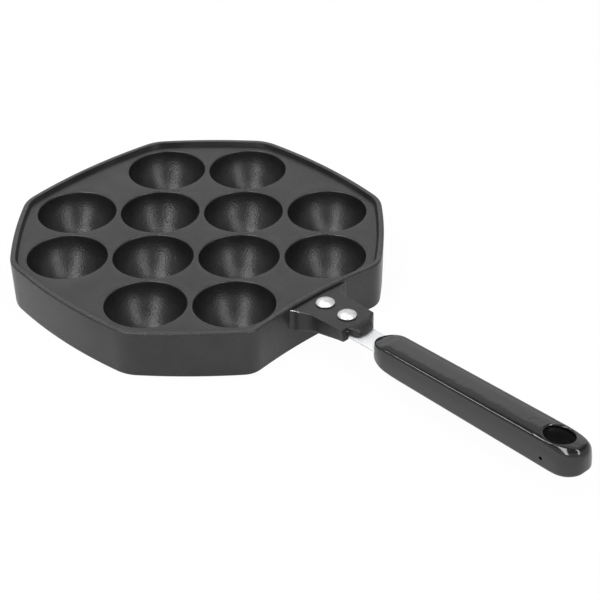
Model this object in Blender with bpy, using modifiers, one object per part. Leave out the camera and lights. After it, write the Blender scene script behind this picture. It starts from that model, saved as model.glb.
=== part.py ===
"""A takoyaki pan: one casting with twelve half-round cups, a riveted tang and a moulded grip.

Metres, +Z up, standing on z = 0. The tang and grip run along +X from one side of the pan,
and the square field of cups lies at 45 degrees to them.
"""

import itertools
import math

import bmesh
import bpy

# Cup field
CUP_PITCH = 0.047
CUP_RADIUS = 0.0221
CUP_DEPTH = 0.0215
CUP_WALL = 0.0028
CUP_MOUTH_EDGE = 0.0006
CUP_ROWS = 4
CUP_COLUMNS = 4

# Plan of the casting: eight bowed sides, in line with the cup rows or across them
ROW_SIDE_LAND = 0.0099
CROSS_SIDE_LAND = 0.0101
BRACKET_SIDE_LAND = 0.0039
ROW_SIDE_BOW = 0.305
CROSS_SIDE_BOW = 0.284
BRACKET_SIDE_HOLLOW = 0.300
CORNER_RADIUS = 0.0215

# Section of the casting
RIM_RISE = 0.0022
RIM_WIDTH = 0.0028
RIM_SLOPE = 0.0013
RIM_EDGE = 0.0007
BASE_EDGE = 0.0010
DECK_THICKNESS = 0.0030
SKIRT_THICKNESS = 0.0030
SKIRT_DRAFT = 0.0010
CUP_STAND = 0.0012

# Bracket cast on the hollow side
BRACKET_LENGTH = 0.0325
BRACKET_FRONT_WIDTH = 0.0241
BRACKET_ROOT_WIDTH = 0.0252
BRACKET_FILLET = 0.0145
BRACKET_TOP_DROP = 0.0015
BRACKET_ROOF = 0.0052
BRACKET_FRONT_HEIGHT = 0.0066
BRACKET_ROOT_HEIGHT = 0.0127
BRACKET_CORNER = 0.0012
NOSE_REACH = 0.0055
NOSE_WIDTH = 0.0152
NOSE_OFFSET = 0.0013
NOTCH_RADIUS = 0.0016
NOTCH_DEPTH = 0.0030
NOTCH_DROP = 0.0025

# Tang, a flat strip under the bracket and inside the grip
TANG_WIDTH = 0.0138
TANG_THICKNESS = 0.0015
TANG_ROOT_GAP = 0.0012
TANG_IN_GRIP = 0.0780
TANG_CORNER = 0.0030

# Rivets through bracket and tang
RIVET_HEAD_RADIUS = 0.0051
RIVET_HEAD_HEIGHT = 0.0024
RIVET_HEAD_LIP = 0.0005
RIVET_SHANK_RADIUS = 0.0026
RIVET_TAIL_RADIUS = 0.0040
RIVET_TAIL_HEIGHT = 0.0015
RIVET_FROM_ROOT = 0.0085
RIVET_SPACING = 0.0164

# Grip
GRIP_STANDOFF = 0.0148
GRIP_LENGTH = 0.1405
GRIP_FRONT_WIDTH = 0.0190
GRIP_END_WIDTH = 0.0204
GRIP_FRONT_ROUND = 0.0136
GRIP_END_ROUND = 0.0128
GRIP_TIP_SHARE = 0.96
GRIP_END_FULLNESS_SHARE = 1.15
GRIP_NECK_RISE = 0.0016
GRIP_NECK_DEPTH = 0.0048
GRIP_FRONT_RISE = 0.0056
GRIP_FRONT_DEPTH = 0.0078
GRIP_END_RISE = 0.0069
GRIP_END_DEPTH = 0.0100
GRIP_NOSE_LENGTH = 0.0220
GRIP_EDGE = 0.0019
GRIP_END_EDGE = 0.0045
GRIP_END_EDGE_RUN = 0.0210
GRIP_END_TUCK = 0.0030
GRIP_END_TUCK_RUN = 0.0160
HANG_HOLE_LENGTH = 0.0172
HANG_HOLE_WIDTH = 0.0136
HANG_HOLE_FROM_END = 0.0176
SIDE_HOLE_RADIUS = 0.0010
SIDE_HOLE_DEPTH = 0.0022
SIDE_HOLE_FROM_END = 0.0204
SIDE_HOLE_BELOW_TANG = 0.0040

# Fits
SEAT_GAP = 0.0003
OVERRUN = 0.004
MERGE_DISTANCE = 0.00001

# Facets
SIDE_STEPS = 8
CORNER_STEPS = 5
CUP_SEGMENTS = 24
CUP_ARC_STEPS = 6
BOWL_SEGMENTS = 18
BOWL_ARC_STEPS = 4
RIVET_SEGMENTS = 20
RIVET_ARC_STEPS = 4
FILLET_STEPS = 5
GRIP_STATIONS = 30
GRIP_CORNER_STEPS = 3
HANG_HOLE_SEGMENTS = 28
SMALL_HOLE_SEGMENTS = 12
NOSE_SEGMENTS = 20
NOSE_RINGS = 10
SMOOTH_ANGLE = math.radians(40.0)

# Worked out from the sizes above
SIN_45 = math.sqrt(0.5)
ROW_SIDE_REACH = (CUP_ROWS - 1) / 2.0 * CUP_PITCH + CUP_RADIUS + ROW_SIDE_LAND
CROSS_CUP_REACH = (CUP_ROWS + CUP_COLUMNS - 4) / 2.0 * SIN_45 * CUP_PITCH + CUP_RADIUS
CROSS_SIDE_REACH = CROSS_CUP_REACH + CROSS_SIDE_LAND
BRACKET_SIDE_REACH = CROSS_CUP_REACH + BRACKET_SIDE_LAND
DECK_Z = CUP_DEPTH + CUP_WALL + CUP_STAND
RIM_Z = DECK_Z + RIM_RISE
CUP_SPHERE_RADIUS = (CUP_RADIUS ** 2 + CUP_DEPTH ** 2) / (2.0 * CUP_DEPTH)
CUP_SPHERE_RISE = CUP_SPHERE_RADIUS - CUP_DEPTH
BRACKET_TOP_Z = RIM_Z - BRACKET_TOP_DROP
BRACKET_FRONT_X = BRACKET_SIDE_REACH + BRACKET_LENGTH
CHANNEL_Z = BRACKET_TOP_Z - BRACKET_ROOF
TANG_TOP_Z = CHANNEL_Z - SEAT_GAP
TANG_Z = TANG_TOP_Z - TANG_THICKNESS / 2.0
RIVET_XS = (BRACKET_SIDE_REACH + RIVET_FROM_ROOT, BRACKET_SIDE_REACH + RIVET_FROM_ROOT + RIVET_SPACING)
GRIP_START_X = BRACKET_FRONT_X + GRIP_STANDOFF
GRIP_END_X = GRIP_START_X + GRIP_LENGTH
PAN_CENTRE_X = (CROSS_SIDE_REACH - GRIP_END_X) / 2.0


def clear_scene():
    """Remove whatever the opened file holds."""
    for item in list(bpy.data.objects):
        bpy.data.objects.remove(item, do_unlink=True)


def make_collection(name):
    """Link a new collection to the scene."""
    collection = bpy.data.collections.new(name)
    bpy.context.scene.collection.children.link(collection)
    return collection


def make_material(name, colour, roughness, metallic):
    """One Principled BSDF with the piece's colour and finish."""
    material = bpy.data.materials.new(name)
    material.use_nodes = True
    shader = material.node_tree.nodes["Principled BSDF"]
    shader.inputs["Base Color"].default_value = (*colour, 1.0)
    shader.inputs["Roughness"].default_value = roughness
    shader.inputs["Metallic"].default_value = metallic
    return material


def add_object(name, mesh, collection, parent, material=None):
    """Put a mesh into the model under the pan's own origin."""
    item = bpy.data.objects.new(name, mesh)
    collection.objects.link(item)
    item.parent = parent
    if material is not None:
        mesh.materials.append(material)
        mesh.shade_smooth()
        mesh.set_sharp_from_angle(angle=SMOOTH_ANGLE)
    return item


def hide_cutter(item):
    """Show a cutter as wire and keep it out of renders."""
    item.hide_render = True
    item.display_type = "WIRE"
    return item


def add_boolean(target, cutter, operation):
    """Cut or join with the exact solver."""
    modifier = target.modifiers.new(cutter.name, "BOOLEAN")
    modifier.operation = operation
    modifier.object = cutter
    modifier.solver = "EXACT"


def loft(name, rings):
    """Skin closed rings of points in order, and close the first and last with a face."""
    shell = bmesh.new()
    loops = [[shell.verts.new(point) for point in ring] for ring in rings]
    for lower, upper in zip(loops, loops[1:]):
        count = len(lower)
        for index in range(count):
            following = (index + 1) % count
            shell.faces.new((lower[index], lower[following], upper[following], upper[index]))
    shell.faces.new(list(reversed(loops[0])))
    shell.faces.new(loops[-1])
    bmesh.ops.recalc_face_normals(shell, faces=shell.faces)
    mesh = bpy.data.meshes.new(name)
    shell.to_mesh(mesh)
    shell.free()
    return mesh


def turned(name, profile, segments, collection, parent, material=None):
    """Turn a profile of (radius, height) points, top to bottom, about Z."""
    mesh = bpy.data.meshes.new(name)
    points = [(radius, 0.0, height) for radius, height in profile]
    mesh.from_pydata(points, [(index, index + 1) for index in range(len(points) - 1)], [])
    item = add_object(name, mesh, collection, parent, material)
    screw = item.modifiers.new("turn", "SCREW")
    screw.steps = segments
    screw.render_steps = segments
    screw.use_merge_vertices = True
    screw.merge_threshold = MERGE_DISTANCE
    screw.use_smooth_shade = True
    return item


def point_at(centre, radius, angle):
    """The point of a circle at an angle."""
    return centre[0] + radius * math.cos(angle), centre[1] + radius * math.sin(angle)


def bearing(start, end):
    """Angle of the direction from one point to another."""
    return math.atan2(end[1] - start[1], end[0] - start[0])


def arc_points(centre, radius, start, end, steps):
    """Points along a circular arc, both ends included."""
    return [point_at(centre, radius, start + (end - start) * index / steps) for index in range(steps + 1)]


def side_circle(index, inset):
    """Centre and signed bow of one side of the plan; a negative bow is hollow."""
    if index == 0:
        reach, bow = BRACKET_SIDE_REACH, -BRACKET_SIDE_HOLLOW
    elif index % 2:
        reach, bow = ROW_SIDE_REACH, ROW_SIDE_BOW
    else:
        reach, bow = CROSS_SIDE_REACH, CROSS_SIDE_BOW
    angle = index * math.pi / 4.0
    distance = reach - bow
    return (distance * math.cos(angle), distance * math.sin(angle)), bow - inset


def corner_centre(first, second, radius, heading):
    """Centre of the round between two side circles, on the side that the heading points to."""
    (ax, ay), first_bow = first
    (bx, by), second_bow = second
    first_radius = abs(first_bow - radius)
    second_radius = abs(second_bow - radius)
    span = math.hypot(bx - ax, by - ay)
    along = (span ** 2 + first_radius ** 2 - second_radius ** 2) / (2.0 * span)
    across = math.sqrt(first_radius ** 2 - along ** 2)
    ux, uy = (bx - ax) / span, (by - ay) / span
    found = [(ax + along * ux - rise * uy, ay + along * uy + rise * ux) for rise in (across, -across)]
    return max(found, key=lambda point: point[0] * math.cos(heading) + point[1] * math.sin(heading))


def shortest_turn(start, end):
    """The end angle moved by whole turns until it lies within half a turn of the start."""
    while end - start > math.pi:
        end -= 2.0 * math.pi
    while start - end > math.pi:
        end += 2.0 * math.pi
    return end


def plan_outline(inset, height):
    """The casting's plan, drawn in by an inset: bowed sides joined by round corners."""
    radius = max(CORNER_RADIUS - inset, CORNER_RADIUS / 4.0)
    sides = [side_circle(index, inset) for index in range(8)]
    corners = []
    for index in range(8):
        heading = (index + 0.5) * math.pi / 4.0
        corners.append(corner_centre(sides[index], sides[(index + 1) % 8], radius, heading))
    points = []
    for index in range(8):
        centre, bow = sides[index]
        corner = corners[index]
        start = bearing(centre, corners[index - 1])
        end = shortest_turn(start, bearing(centre, corner))
        points += arc_points(centre, abs(bow), start, end, SIDE_STEPS)[:-1]
        next_centre, next_bow = sides[(index + 1) % 8]
        tangent = point_at(centre, abs(bow), end)
        next_tangent = point_at(next_centre, abs(next_bow), bearing(next_centre, corner))
        turn_start = bearing(corner, tangent)
        turn_end = shortest_turn(turn_start, bearing(corner, next_tangent))
        points += arc_points(corner, radius, turn_start, turn_end, CORNER_STEPS)[:-1]
    return [(x, y, height) for x, y in points]


def cup_centres():
    """Places of the cups: a square grid without its corners, turned 45 degrees to the grip."""
    places = []
    for row_index, column_index in itertools.product(range(CUP_ROWS), range(CUP_COLUMNS)):
        row = row_index - (CUP_ROWS - 1) / 2.0
        column = column_index - (CUP_COLUMNS - 1) / 2.0
        in_corner = row_index in (0, CUP_ROWS - 1) and column_index in (0, CUP_COLUMNS - 1)
        if not in_corner:
            places.append(((column - row) * SIN_45 * CUP_PITCH, (column + row) * SIN_45 * CUP_PITCH))
    return places


def make_skirted_deck(collection, parent, material):
    """Deck, raised rim and drafted skirt, hollow below: rings run from deck to under the deck."""
    deck_inset = RIM_WIDTH + RIM_SLOPE
    base_inset = SKIRT_DRAFT
    hollow_inset = SKIRT_DRAFT + SKIRT_THICKNESS
    rings = [
        plan_outline(deck_inset, DECK_Z),
        plan_outline(RIM_WIDTH, RIM_Z),
        plan_outline(RIM_EDGE, RIM_Z),
        plan_outline(0.0, RIM_Z - RIM_EDGE),
        plan_outline(base_inset, BASE_EDGE),
        plan_outline(base_inset + BASE_EDGE, 0.0),
        plan_outline(hollow_inset, 0.0),
        plan_outline(hollow_inset, DECK_Z - DECK_THICKNESS),
    ]
    return add_object("pan_casting", loft("pan_casting", rings), collection, parent, material)


def cup_profile():
    """Cutter for a cup: a short straight mouth, a small edge and the round bowl."""
    profile = [(0.0, OVERRUN), (CUP_RADIUS + CUP_MOUTH_EDGE, OVERRUN), (CUP_RADIUS + CUP_MOUTH_EDGE, 0.0)]
    start = -math.asin((CUP_SPHERE_RISE + CUP_MOUTH_EDGE) / CUP_SPHERE_RADIUS)
    arc = arc_points((0.0, CUP_SPHERE_RISE), CUP_SPHERE_RADIUS, start, -math.pi / 2.0, CUP_ARC_STEPS)
    return profile + arc[:-1] + [(0.0, -CUP_DEPTH)]


def bowl_profile():
    """Outside of a cup below the deck, a wall thicker than the cup."""
    outer = CUP_SPHERE_RADIUS + CUP_WALL
    top = -DECK_THICKNESS / 2.0
    start = math.asin((top - CUP_SPHERE_RISE) / outer)
    arc = arc_points((0.0, CUP_SPHERE_RISE), outer, start, -math.pi / 2.0, BOWL_ARC_STEPS)
    return [(0.0, top)] + arc[:-1] + [(0.0, -CUP_DEPTH - CUP_WALL)]


def bracket_half_plan():
    """Bracket edge from inside the wall to the front corner, on the +Y side."""
    root = BRACKET_ROOT_WIDTH / 2.0
    front = BRACKET_FRONT_WIDTH / 2.0
    wall = BRACKET_SIDE_REACH
    points = [(wall - SKIRT_THICKNESS / 2.0, root + BRACKET_FILLET)]
    fillet_centre = (wall + BRACKET_FILLET, root + BRACKET_FILLET)
    points += arc_points(fillet_centre, BRACKET_FILLET, math.pi, 1.5 * math.pi, FILLET_STEPS)
    corner_middle = (BRACKET_FRONT_X - BRACKET_CORNER, front - BRACKET_CORNER)
    points += arc_points(corner_middle, BRACKET_CORNER, math.pi / 2.0, 0.0, FILLET_STEPS)
    return points


def make_bracket_block(cutters, parent):
    """Solid bracket with a flat top and an underside that rises towards the front."""
    half = bracket_half_plan()
    plan = half + [(x, -y) for x, y in reversed(half)]
    slope = (BRACKET_ROOT_HEIGHT - BRACKET_FRONT_HEIGHT) / BRACKET_LENGTH
    bottom = []
    for x, y in plan:
        depth = BRACKET_FRONT_HEIGHT + slope * (BRACKET_FRONT_X - x)
        bottom.append((x, y, BRACKET_TOP_Z - depth))
    top = [(x, y, BRACKET_TOP_Z) for x, y in plan]
    return hide_cutter(add_object("bracket_block", loft("bracket_block", [bottom, top]), cutters, parent))


def make_nose(cutters, parent):
    """Round nose of the bracket's roof over the tang."""
    ball = bmesh.new()
    bmesh.ops.create_uvsphere(ball, u_segments=NOSE_SEGMENTS, v_segments=NOSE_RINGS, radius=1.0)
    reach = NOSE_REACH + BRACKET_CORNER
    rise = BRACKET_ROOF - SEAT_GAP
    middle = (BRACKET_FRONT_X - BRACKET_CORNER, NOSE_OFFSET, CHANNEL_Z)
    bmesh.ops.scale(ball, vec=(reach, NOSE_WIDTH / 2.0, rise), verts=ball.verts)
    bmesh.ops.translate(ball, vec=middle, verts=ball.verts)
    mesh = bpy.data.meshes.new("bracket_nose")
    ball.to_mesh(mesh)
    ball.free()
    return hide_cutter(add_object("bracket_nose", mesh, cutters, parent))


def make_box(name, low, high, collection, parent, material=None):
    """A box between two corners, from a unit cube."""
    block = bmesh.new()
    bmesh.ops.create_cube(block, size=1.0)
    size = [far - near for near, far in zip(low, high)]
    middle = [(near + far) / 2.0 for near, far in zip(low, high)]
    bmesh.ops.scale(block, vec=size, verts=block.verts)
    bmesh.ops.translate(block, vec=middle, verts=block.verts)
    mesh = bpy.data.meshes.new(name)
    block.to_mesh(mesh)
    block.free()
    return add_object(name, mesh, collection, parent, material)


def make_channel(cutters, parent):
    """Channel that opens the bracket's underside for the tang."""
    half = TANG_WIDTH / 2.0 + SEAT_GAP
    bottom = BRACKET_TOP_Z - BRACKET_ROOT_HEIGHT - OVERRUN
    low = (BRACKET_SIDE_REACH + TANG_ROOT_GAP - SEAT_GAP, -half, bottom)
    high = (BRACKET_FRONT_X + NOSE_REACH + OVERRUN, half, CHANNEL_Z)
    return hide_cutter(make_box("tang_channel", low, high, cutters, parent))


def make_rod(name, radius, start, end, segments, cutters, parent, scale_y=1.0):
    """A round or oval cutter between two points along Z, X or Y."""
    rod = bmesh.new()
    length = math.dist(start, end)
    bmesh.ops.create_cone(rod, cap_ends=True, segments=segments,
                          radius1=radius, radius2=radius, depth=length)
    bmesh.ops.scale(rod, vec=(1.0, scale_y, 1.0), verts=rod.verts)
    mesh = bpy.data.meshes.new(name)
    rod.to_mesh(mesh)
    rod.free()
    item = add_object(name, mesh, cutters, parent)
    item.location = [(near + far) / 2.0 for near, far in zip(start, end)]
    along_y = abs(end[1] - start[1]) > abs(end[2] - start[2])
    along_x = abs(end[0] - start[0]) > abs(end[2] - start[2])
    item.rotation_euler = (math.pi / 2.0 if along_y else 0.0, math.pi / 2.0 if along_x else 0.0, 0.0)
    return hide_cutter(item)


def make_pan(collection, cutters, parent, material):
    """Casting: skirted deck, twelve bowls, bracket and nose joined; cups, channel and holes cut."""
    pan = make_skirted_deck(collection, parent, material)
    bowls = []
    cups = []
    for index, (x, y) in enumerate(cup_centres(), start=1):
        bowl = hide_cutter(turned(f"bowl_{index:02d}", bowl_profile(), BOWL_SEGMENTS, cutters, parent))
        cup = hide_cutter(turned(f"cup_{index:02d}", cup_profile(), CUP_SEGMENTS, cutters, parent))
        for item in (bowl, cup):
            item.location = (x, y, DECK_Z)
        bowls.append(bowl)
        cups.append(cup)
    for joined in bowls + [make_bracket_block(cutters, parent), make_nose(cutters, parent)]:
        add_boolean(pan, joined, "UNION")
    cuts = cups + [make_channel(cutters, parent)]
    hole_radius = RIVET_SHANK_RADIUS + SEAT_GAP
    for number, x in enumerate(RIVET_XS, start=1):
        bottom = (x, 0.0, CHANNEL_Z - OVERRUN)
        top = (x, 0.0, BRACKET_TOP_Z + OVERRUN)
        name = f"bracket_hole_{number}"
        cuts.append(make_rod(name, hole_radius, bottom, top, RIVET_SEGMENTS, cutters, parent))
    notch_y = NOSE_OFFSET - (NOSE_WIDTH + NOTCH_RADIUS) / 2.0
    notch_z = BRACKET_TOP_Z - NOTCH_DROP
    inner = (BRACKET_FRONT_X - NOTCH_DEPTH, notch_y, notch_z)
    outer = (BRACKET_FRONT_X + NOSE_REACH, notch_y, notch_z)
    cuts.append(make_rod("bracket_notch", NOTCH_RADIUS, inner, outer, SMALL_HOLE_SEGMENTS, cutters, parent))
    for cutter in cuts:
        add_boolean(pan, cutter, "DIFFERENCE")
    return pan


def make_tang(collection, cutters, parent, material):
    """Flat strip with round-cornered ends and two rivet holes."""
    start = BRACKET_SIDE_REACH + TANG_ROOT_GAP
    end = GRIP_START_X + TANG_IN_GRIP
    half = TANG_WIDTH / 2.0
    plan = []
    quarter = math.pi / 2.0
    for turn, (x, y) in enumerate(((end, half), (start, half), (start, -half), (end, -half))):
        inner_x = x - math.copysign(TANG_CORNER, x - (start + end) / 2.0)
        inner_y = y - math.copysign(TANG_CORNER, y)
        angle = turn * quarter
        plan += arc_points((inner_x, inner_y), TANG_CORNER, angle, angle + quarter, FILLET_STEPS)
    bottom = [(x, y, TANG_TOP_Z - TANG_THICKNESS) for x, y in plan]
    top = [(x, y, TANG_TOP_Z) for x, y in plan]
    tang = add_object("handle_tang", loft("handle_tang", [bottom, top]), collection, parent, material)
    hole_radius = RIVET_SHANK_RADIUS + SEAT_GAP
    for number, x in enumerate(RIVET_XS, start=1):
        low = (x, 0.0, TANG_TOP_Z - TANG_THICKNESS - OVERRUN)
        high = (x, 0.0, TANG_TOP_Z + OVERRUN)
        hole = make_rod(f"tang_hole_{number}", hole_radius, low, high, RIVET_SEGMENTS, cutters, parent)
        add_boolean(tang, hole, "DIFFERENCE")
    return tang


def rivet_profile():
    """Low dome above the bracket, shank through both pieces, flat tail below the tang."""
    seat = SEAT_GAP
    dome = RIVET_HEAD_HEIGHT - RIVET_HEAD_LIP
    dome_radius = (RIVET_HEAD_RADIUS ** 2 + dome ** 2) / (2.0 * dome)
    centre = seat + RIVET_HEAD_HEIGHT - dome_radius
    edge = math.acos(RIVET_HEAD_RADIUS / dome_radius)
    head = arc_points((0.0, centre), dome_radius, math.pi / 2.0, edge, RIVET_ARC_STEPS)
    grip_length = BRACKET_ROOF + SEAT_GAP + TANG_THICKNESS
    tail = -grip_length - SEAT_GAP
    profile = [(0.0, seat + RIVET_HEAD_HEIGHT)] + head[1:]
    profile += [(RIVET_HEAD_RADIUS, seat), (RIVET_SHANK_RADIUS, seat), (RIVET_SHANK_RADIUS, tail)]
    profile += [(RIVET_TAIL_RADIUS, tail), (RIVET_TAIL_RADIUS, tail - RIVET_TAIL_HEIGHT)]
    return profile + [(0.0, tail - RIVET_TAIL_HEIGHT)]


def make_rivets(collection, parent, material):
    """Two rivets in line along the tang."""
    rivets = []
    for name, x in zip(("rivet_inner", "rivet_outer"), RIVET_XS):
        rivet = turned(name, rivet_profile(), RIVET_SEGMENTS, collection, parent, material)
        rivet.location = (x, 0.0, BRACKET_TOP_Z)
        rivets.append(rivet)
    return rivets


def grip_half_width(along):
    """Plan half width of the grip: a slow taper with an oval front and a fuller end."""
    share = along / GRIP_LENGTH
    half = (GRIP_FRONT_WIDTH + (GRIP_END_WIDTH - GRIP_FRONT_WIDTH) * share) / 2.0
    front = GRIP_TIP_SHARE * max(0.0, 1.0 - along / GRIP_FRONT_ROUND)
    back = GRIP_TIP_SHARE * max(0.0, 1.0 - (GRIP_LENGTH - along) / GRIP_END_ROUND)
    power = 2.0 * GRIP_END_FULLNESS_SHARE
    return half * math.sqrt(1.0 - front ** 2) * (1.0 - back ** power) ** (1.0 / power)


def grip_heights(along):
    """Rise above and depth below the tang's middle, drawn in over the nose and tucked up at the end."""
    share = along / GRIP_LENGTH
    rise = GRIP_FRONT_RISE + (GRIP_END_RISE - GRIP_FRONT_RISE) * share
    depth = GRIP_FRONT_DEPTH + (GRIP_END_DEPTH - GRIP_FRONT_DEPTH) * share
    swell = math.sin(min(1.0, along / GRIP_NOSE_LENGTH) * math.pi / 2.0)
    rise = GRIP_NECK_RISE + (rise - GRIP_NECK_RISE) * swell
    depth = GRIP_NECK_DEPTH + (depth - GRIP_NECK_DEPTH) * swell
    left = GRIP_LENGTH - along
    depth -= GRIP_END_TUCK * max(0.0, 1.0 - left / GRIP_END_TUCK_RUN) ** 2
    edge = grip_edge(along)
    if left < edge:
        rise -= edge - math.sqrt(edge ** 2 - (edge - left) ** 2)
    return rise, depth


def grip_edge(along):
    """Radius of the upper long edges, which grows towards the far end."""
    share = min(1.0, max(0.0, 1.0 - (GRIP_LENGTH - along) / GRIP_END_EDGE_RUN))
    return GRIP_EDGE + (GRIP_END_EDGE - GRIP_EDGE) * share * share * (3.0 - 2.0 * share)


def grip_ring(along):
    """Cross-section of the grip: a rounded rectangle with its own edge radii."""
    half = grip_half_width(along)
    rise, depth = grip_heights(along)
    limit = min(half, (rise + depth) / 2.0)
    upper = min(grip_edge(along), limit)
    lower = min(GRIP_EDGE, limit)
    corners = [(half - upper, rise - upper, upper), (-half + upper, rise - upper, upper),
               (-half + lower, -depth + lower, lower), (half - lower, -depth + lower, lower)]
    quarter = math.pi / 2.0
    points = []
    for turn, (y, z, radius) in enumerate(corners):
        start = turn * quarter
        points += arc_points((y, z), radius, start, start + quarter, GRIP_CORNER_STEPS)
    return [(GRIP_START_X + along, y, TANG_Z + z) for y, z in points]


def make_grip(collection, cutters, parent, material):
    """Moulded grip: a loft of rounded sections with a tang pocket, a hang hole and a side hole."""
    rings = []
    for index in range(GRIP_STATIONS + 1):
        share = (1.0 - math.cos(math.pi * index / GRIP_STATIONS)) / 2.0
        rings.append(grip_ring(GRIP_LENGTH * share))
    grip = add_object("grip", loft("grip", rings), collection, parent, material)
    half = TANG_WIDTH / 2.0 + SEAT_GAP
    low = (GRIP_START_X - OVERRUN, -half, TANG_TOP_Z - TANG_THICKNESS - SEAT_GAP)
    high = (GRIP_START_X + TANG_IN_GRIP + SEAT_GAP, half, TANG_TOP_Z + SEAT_GAP)
    pocket = hide_cutter(make_box("tang_pocket", low, high, cutters, parent))
    hole_x = GRIP_END_X - HANG_HOLE_FROM_END
    bottom = (hole_x, 0.0, TANG_Z - GRIP_END_DEPTH - OVERRUN)
    top = (hole_x, 0.0, TANG_Z + GRIP_END_RISE + OVERRUN)
    oval = make_rod("hang_hole", HANG_HOLE_LENGTH / 2.0, bottom, top, HANG_HOLE_SEGMENTS, cutters, parent,
                    scale_y=HANG_HOLE_WIDTH / HANG_HOLE_LENGTH)
    side_x = GRIP_END_X - SIDE_HOLE_FROM_END
    side_y = -grip_half_width(GRIP_LENGTH - SIDE_HOLE_FROM_END)
    side_z = TANG_Z - SIDE_HOLE_BELOW_TANG
    side = make_rod("side_hole", SIDE_HOLE_RADIUS, (side_x, side_y - OVERRUN, side_z),
                    (side_x, side_y + SIDE_HOLE_DEPTH, side_z), SMALL_HOLE_SEGMENTS, cutters, parent)
    for cutter in (pocket, oval, side):
        add_boolean(grip, cutter, "DIFFERENCE")
    return grip


def build():
    """Make every piece under one empty at the middle of the pan."""
    clear_scene()
    model = make_collection("takoyaki_pan")
    cutters = make_collection("cutters")
    middle = bpy.data.objects.new("pan_middle", None)
    model.objects.link(middle)
    middle.location = (PAN_CENTRE_X, 0.0, 0.0)
    coating = make_material("non_stick_coating", (0.045, 0.045, 0.047), 0.45, 0.0)
    bare_metal = make_material("bare_aluminium", (0.80, 0.80, 0.81), 0.30, 1.0)
    strip_metal = make_material("plated_strip", (0.72, 0.72, 0.73), 0.35, 1.0)
    phenolic = make_material("black_phenolic", (0.02, 0.02, 0.021), 0.15, 0.0)
    make_pan(model, cutters, middle, coating)
    make_tang(model, cutters, middle, strip_metal)
    make_rivets(model, middle, bare_metal)
    make_grip(model, cutters, middle, phenolic)


build()
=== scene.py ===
"""Looks of a twelve-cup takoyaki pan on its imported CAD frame, laid out as an add-on and run as a script.

Metres, +Z up. Every piece is a surface worked out with numpy on a grid of two parameters.
"""

import math

import bmesh
import bpy
import numpy as np
from bpy.props import FloatProperty, FloatVectorProperty, PointerProperty
from mathutils import Matrix, Vector


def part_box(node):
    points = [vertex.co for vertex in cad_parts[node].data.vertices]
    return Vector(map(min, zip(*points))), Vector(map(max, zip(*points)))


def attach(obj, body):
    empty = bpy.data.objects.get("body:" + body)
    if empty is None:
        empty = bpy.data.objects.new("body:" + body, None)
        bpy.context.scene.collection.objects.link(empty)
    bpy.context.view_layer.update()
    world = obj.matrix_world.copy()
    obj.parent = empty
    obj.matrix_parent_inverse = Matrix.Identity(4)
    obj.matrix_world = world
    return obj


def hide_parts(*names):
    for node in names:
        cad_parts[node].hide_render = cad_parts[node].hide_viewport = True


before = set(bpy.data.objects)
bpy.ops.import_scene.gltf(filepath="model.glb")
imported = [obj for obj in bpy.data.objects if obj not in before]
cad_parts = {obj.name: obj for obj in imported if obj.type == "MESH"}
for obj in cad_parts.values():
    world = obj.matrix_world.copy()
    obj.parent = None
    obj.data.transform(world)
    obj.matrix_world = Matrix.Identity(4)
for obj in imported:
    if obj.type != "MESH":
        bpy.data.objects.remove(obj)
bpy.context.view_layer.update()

bl_info = {
    "name": "Takoyaki Pan",
    "version": (1, 0, 0),
    "blender": (4, 5, 0),
    "location": "3D View > Sidebar > Takoyaki Pan",
    "description": "Builds the visible pieces of a riveted cast takoyaki pan and the stage they stand on",
    "category": "Add Mesh",
}

PAN_LOW, PAN_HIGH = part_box("pan_casting")
STRIP_LOW, STRIP_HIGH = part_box("handle_tang")
GRIP_LOW, GRIP_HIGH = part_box("grip")
RIVET_BOXES = (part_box("rivet_inner"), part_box("rivet_outer"))
SIN_45 = math.sqrt(0.5)
CELL_ANGLES = 120
CUP_COUNT_ACROSS = 4
PLAN_TABLE = 4096
HALVINGS = 40
DECK_SHARES = (0.35, 0.7, 1.0)
GROOVE_ROWS, RIM_ROWS, RIM_EDGE_ROWS = slice(2, 8), slice(9, 14), slice(14, 19)
LEG_SHARES = np.array((1.0, 0.84, 0.62, 0.44, 0.3, 0.2, 0.1, 0.0))
LEG_RISES = np.array((0.0, 0.35, 0.75))
ROOF_RISES = np.array((0.0, 0.14, 0.3, 0.45, 0.6, 0.75, 0.86, 1.0))
NOSE_FULLNESS_NOTCH, NOSE_FULLNESS_PLAIN, NOSE_FULLNESS_UP = 3.2, 2.0, 2.4
BEAD_WEAR, CHIP_WEAR = 3.5, 2.7
RIVET_ROUNDINGS = (0.00015, 0.0001, 0.0001, 0.0003, 0.0006)
HEAD_MARGIN = 0.0001
GRIP_END_FULLNESS = 2.3
UPPER_SIDE_SHARE = 0.6
SIDE_SHARES = np.array((0.0, 0.17, 0.34, 0.46, 0.58, 0.64, 0.70, 0.76, 0.82, 0.91, 1.0))
PIT_PLACES = ((0.1536, -0.0009), (0.1544, 0.0009), (0.1561, 0.0016))
PIT_FLOOR, PIT_EDGE = 0.0003, 0.00055
MERGE_DISTANCE = 0.000002
SMOOTH_ANGLE = math.radians(42.0)
CAMERA_PLACE = (0.691777, -0.642451, 0.648183)
CAMERA_AZIMUTH = math.radians(47.50272)
CAMERA_ELEVATION = math.radians(33.4822)
CAMERA_ROLL = math.radians(-1.542507)
AIR_GREY = 0.25
LAMP_AIM_FROM_LOW = 0.1
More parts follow.
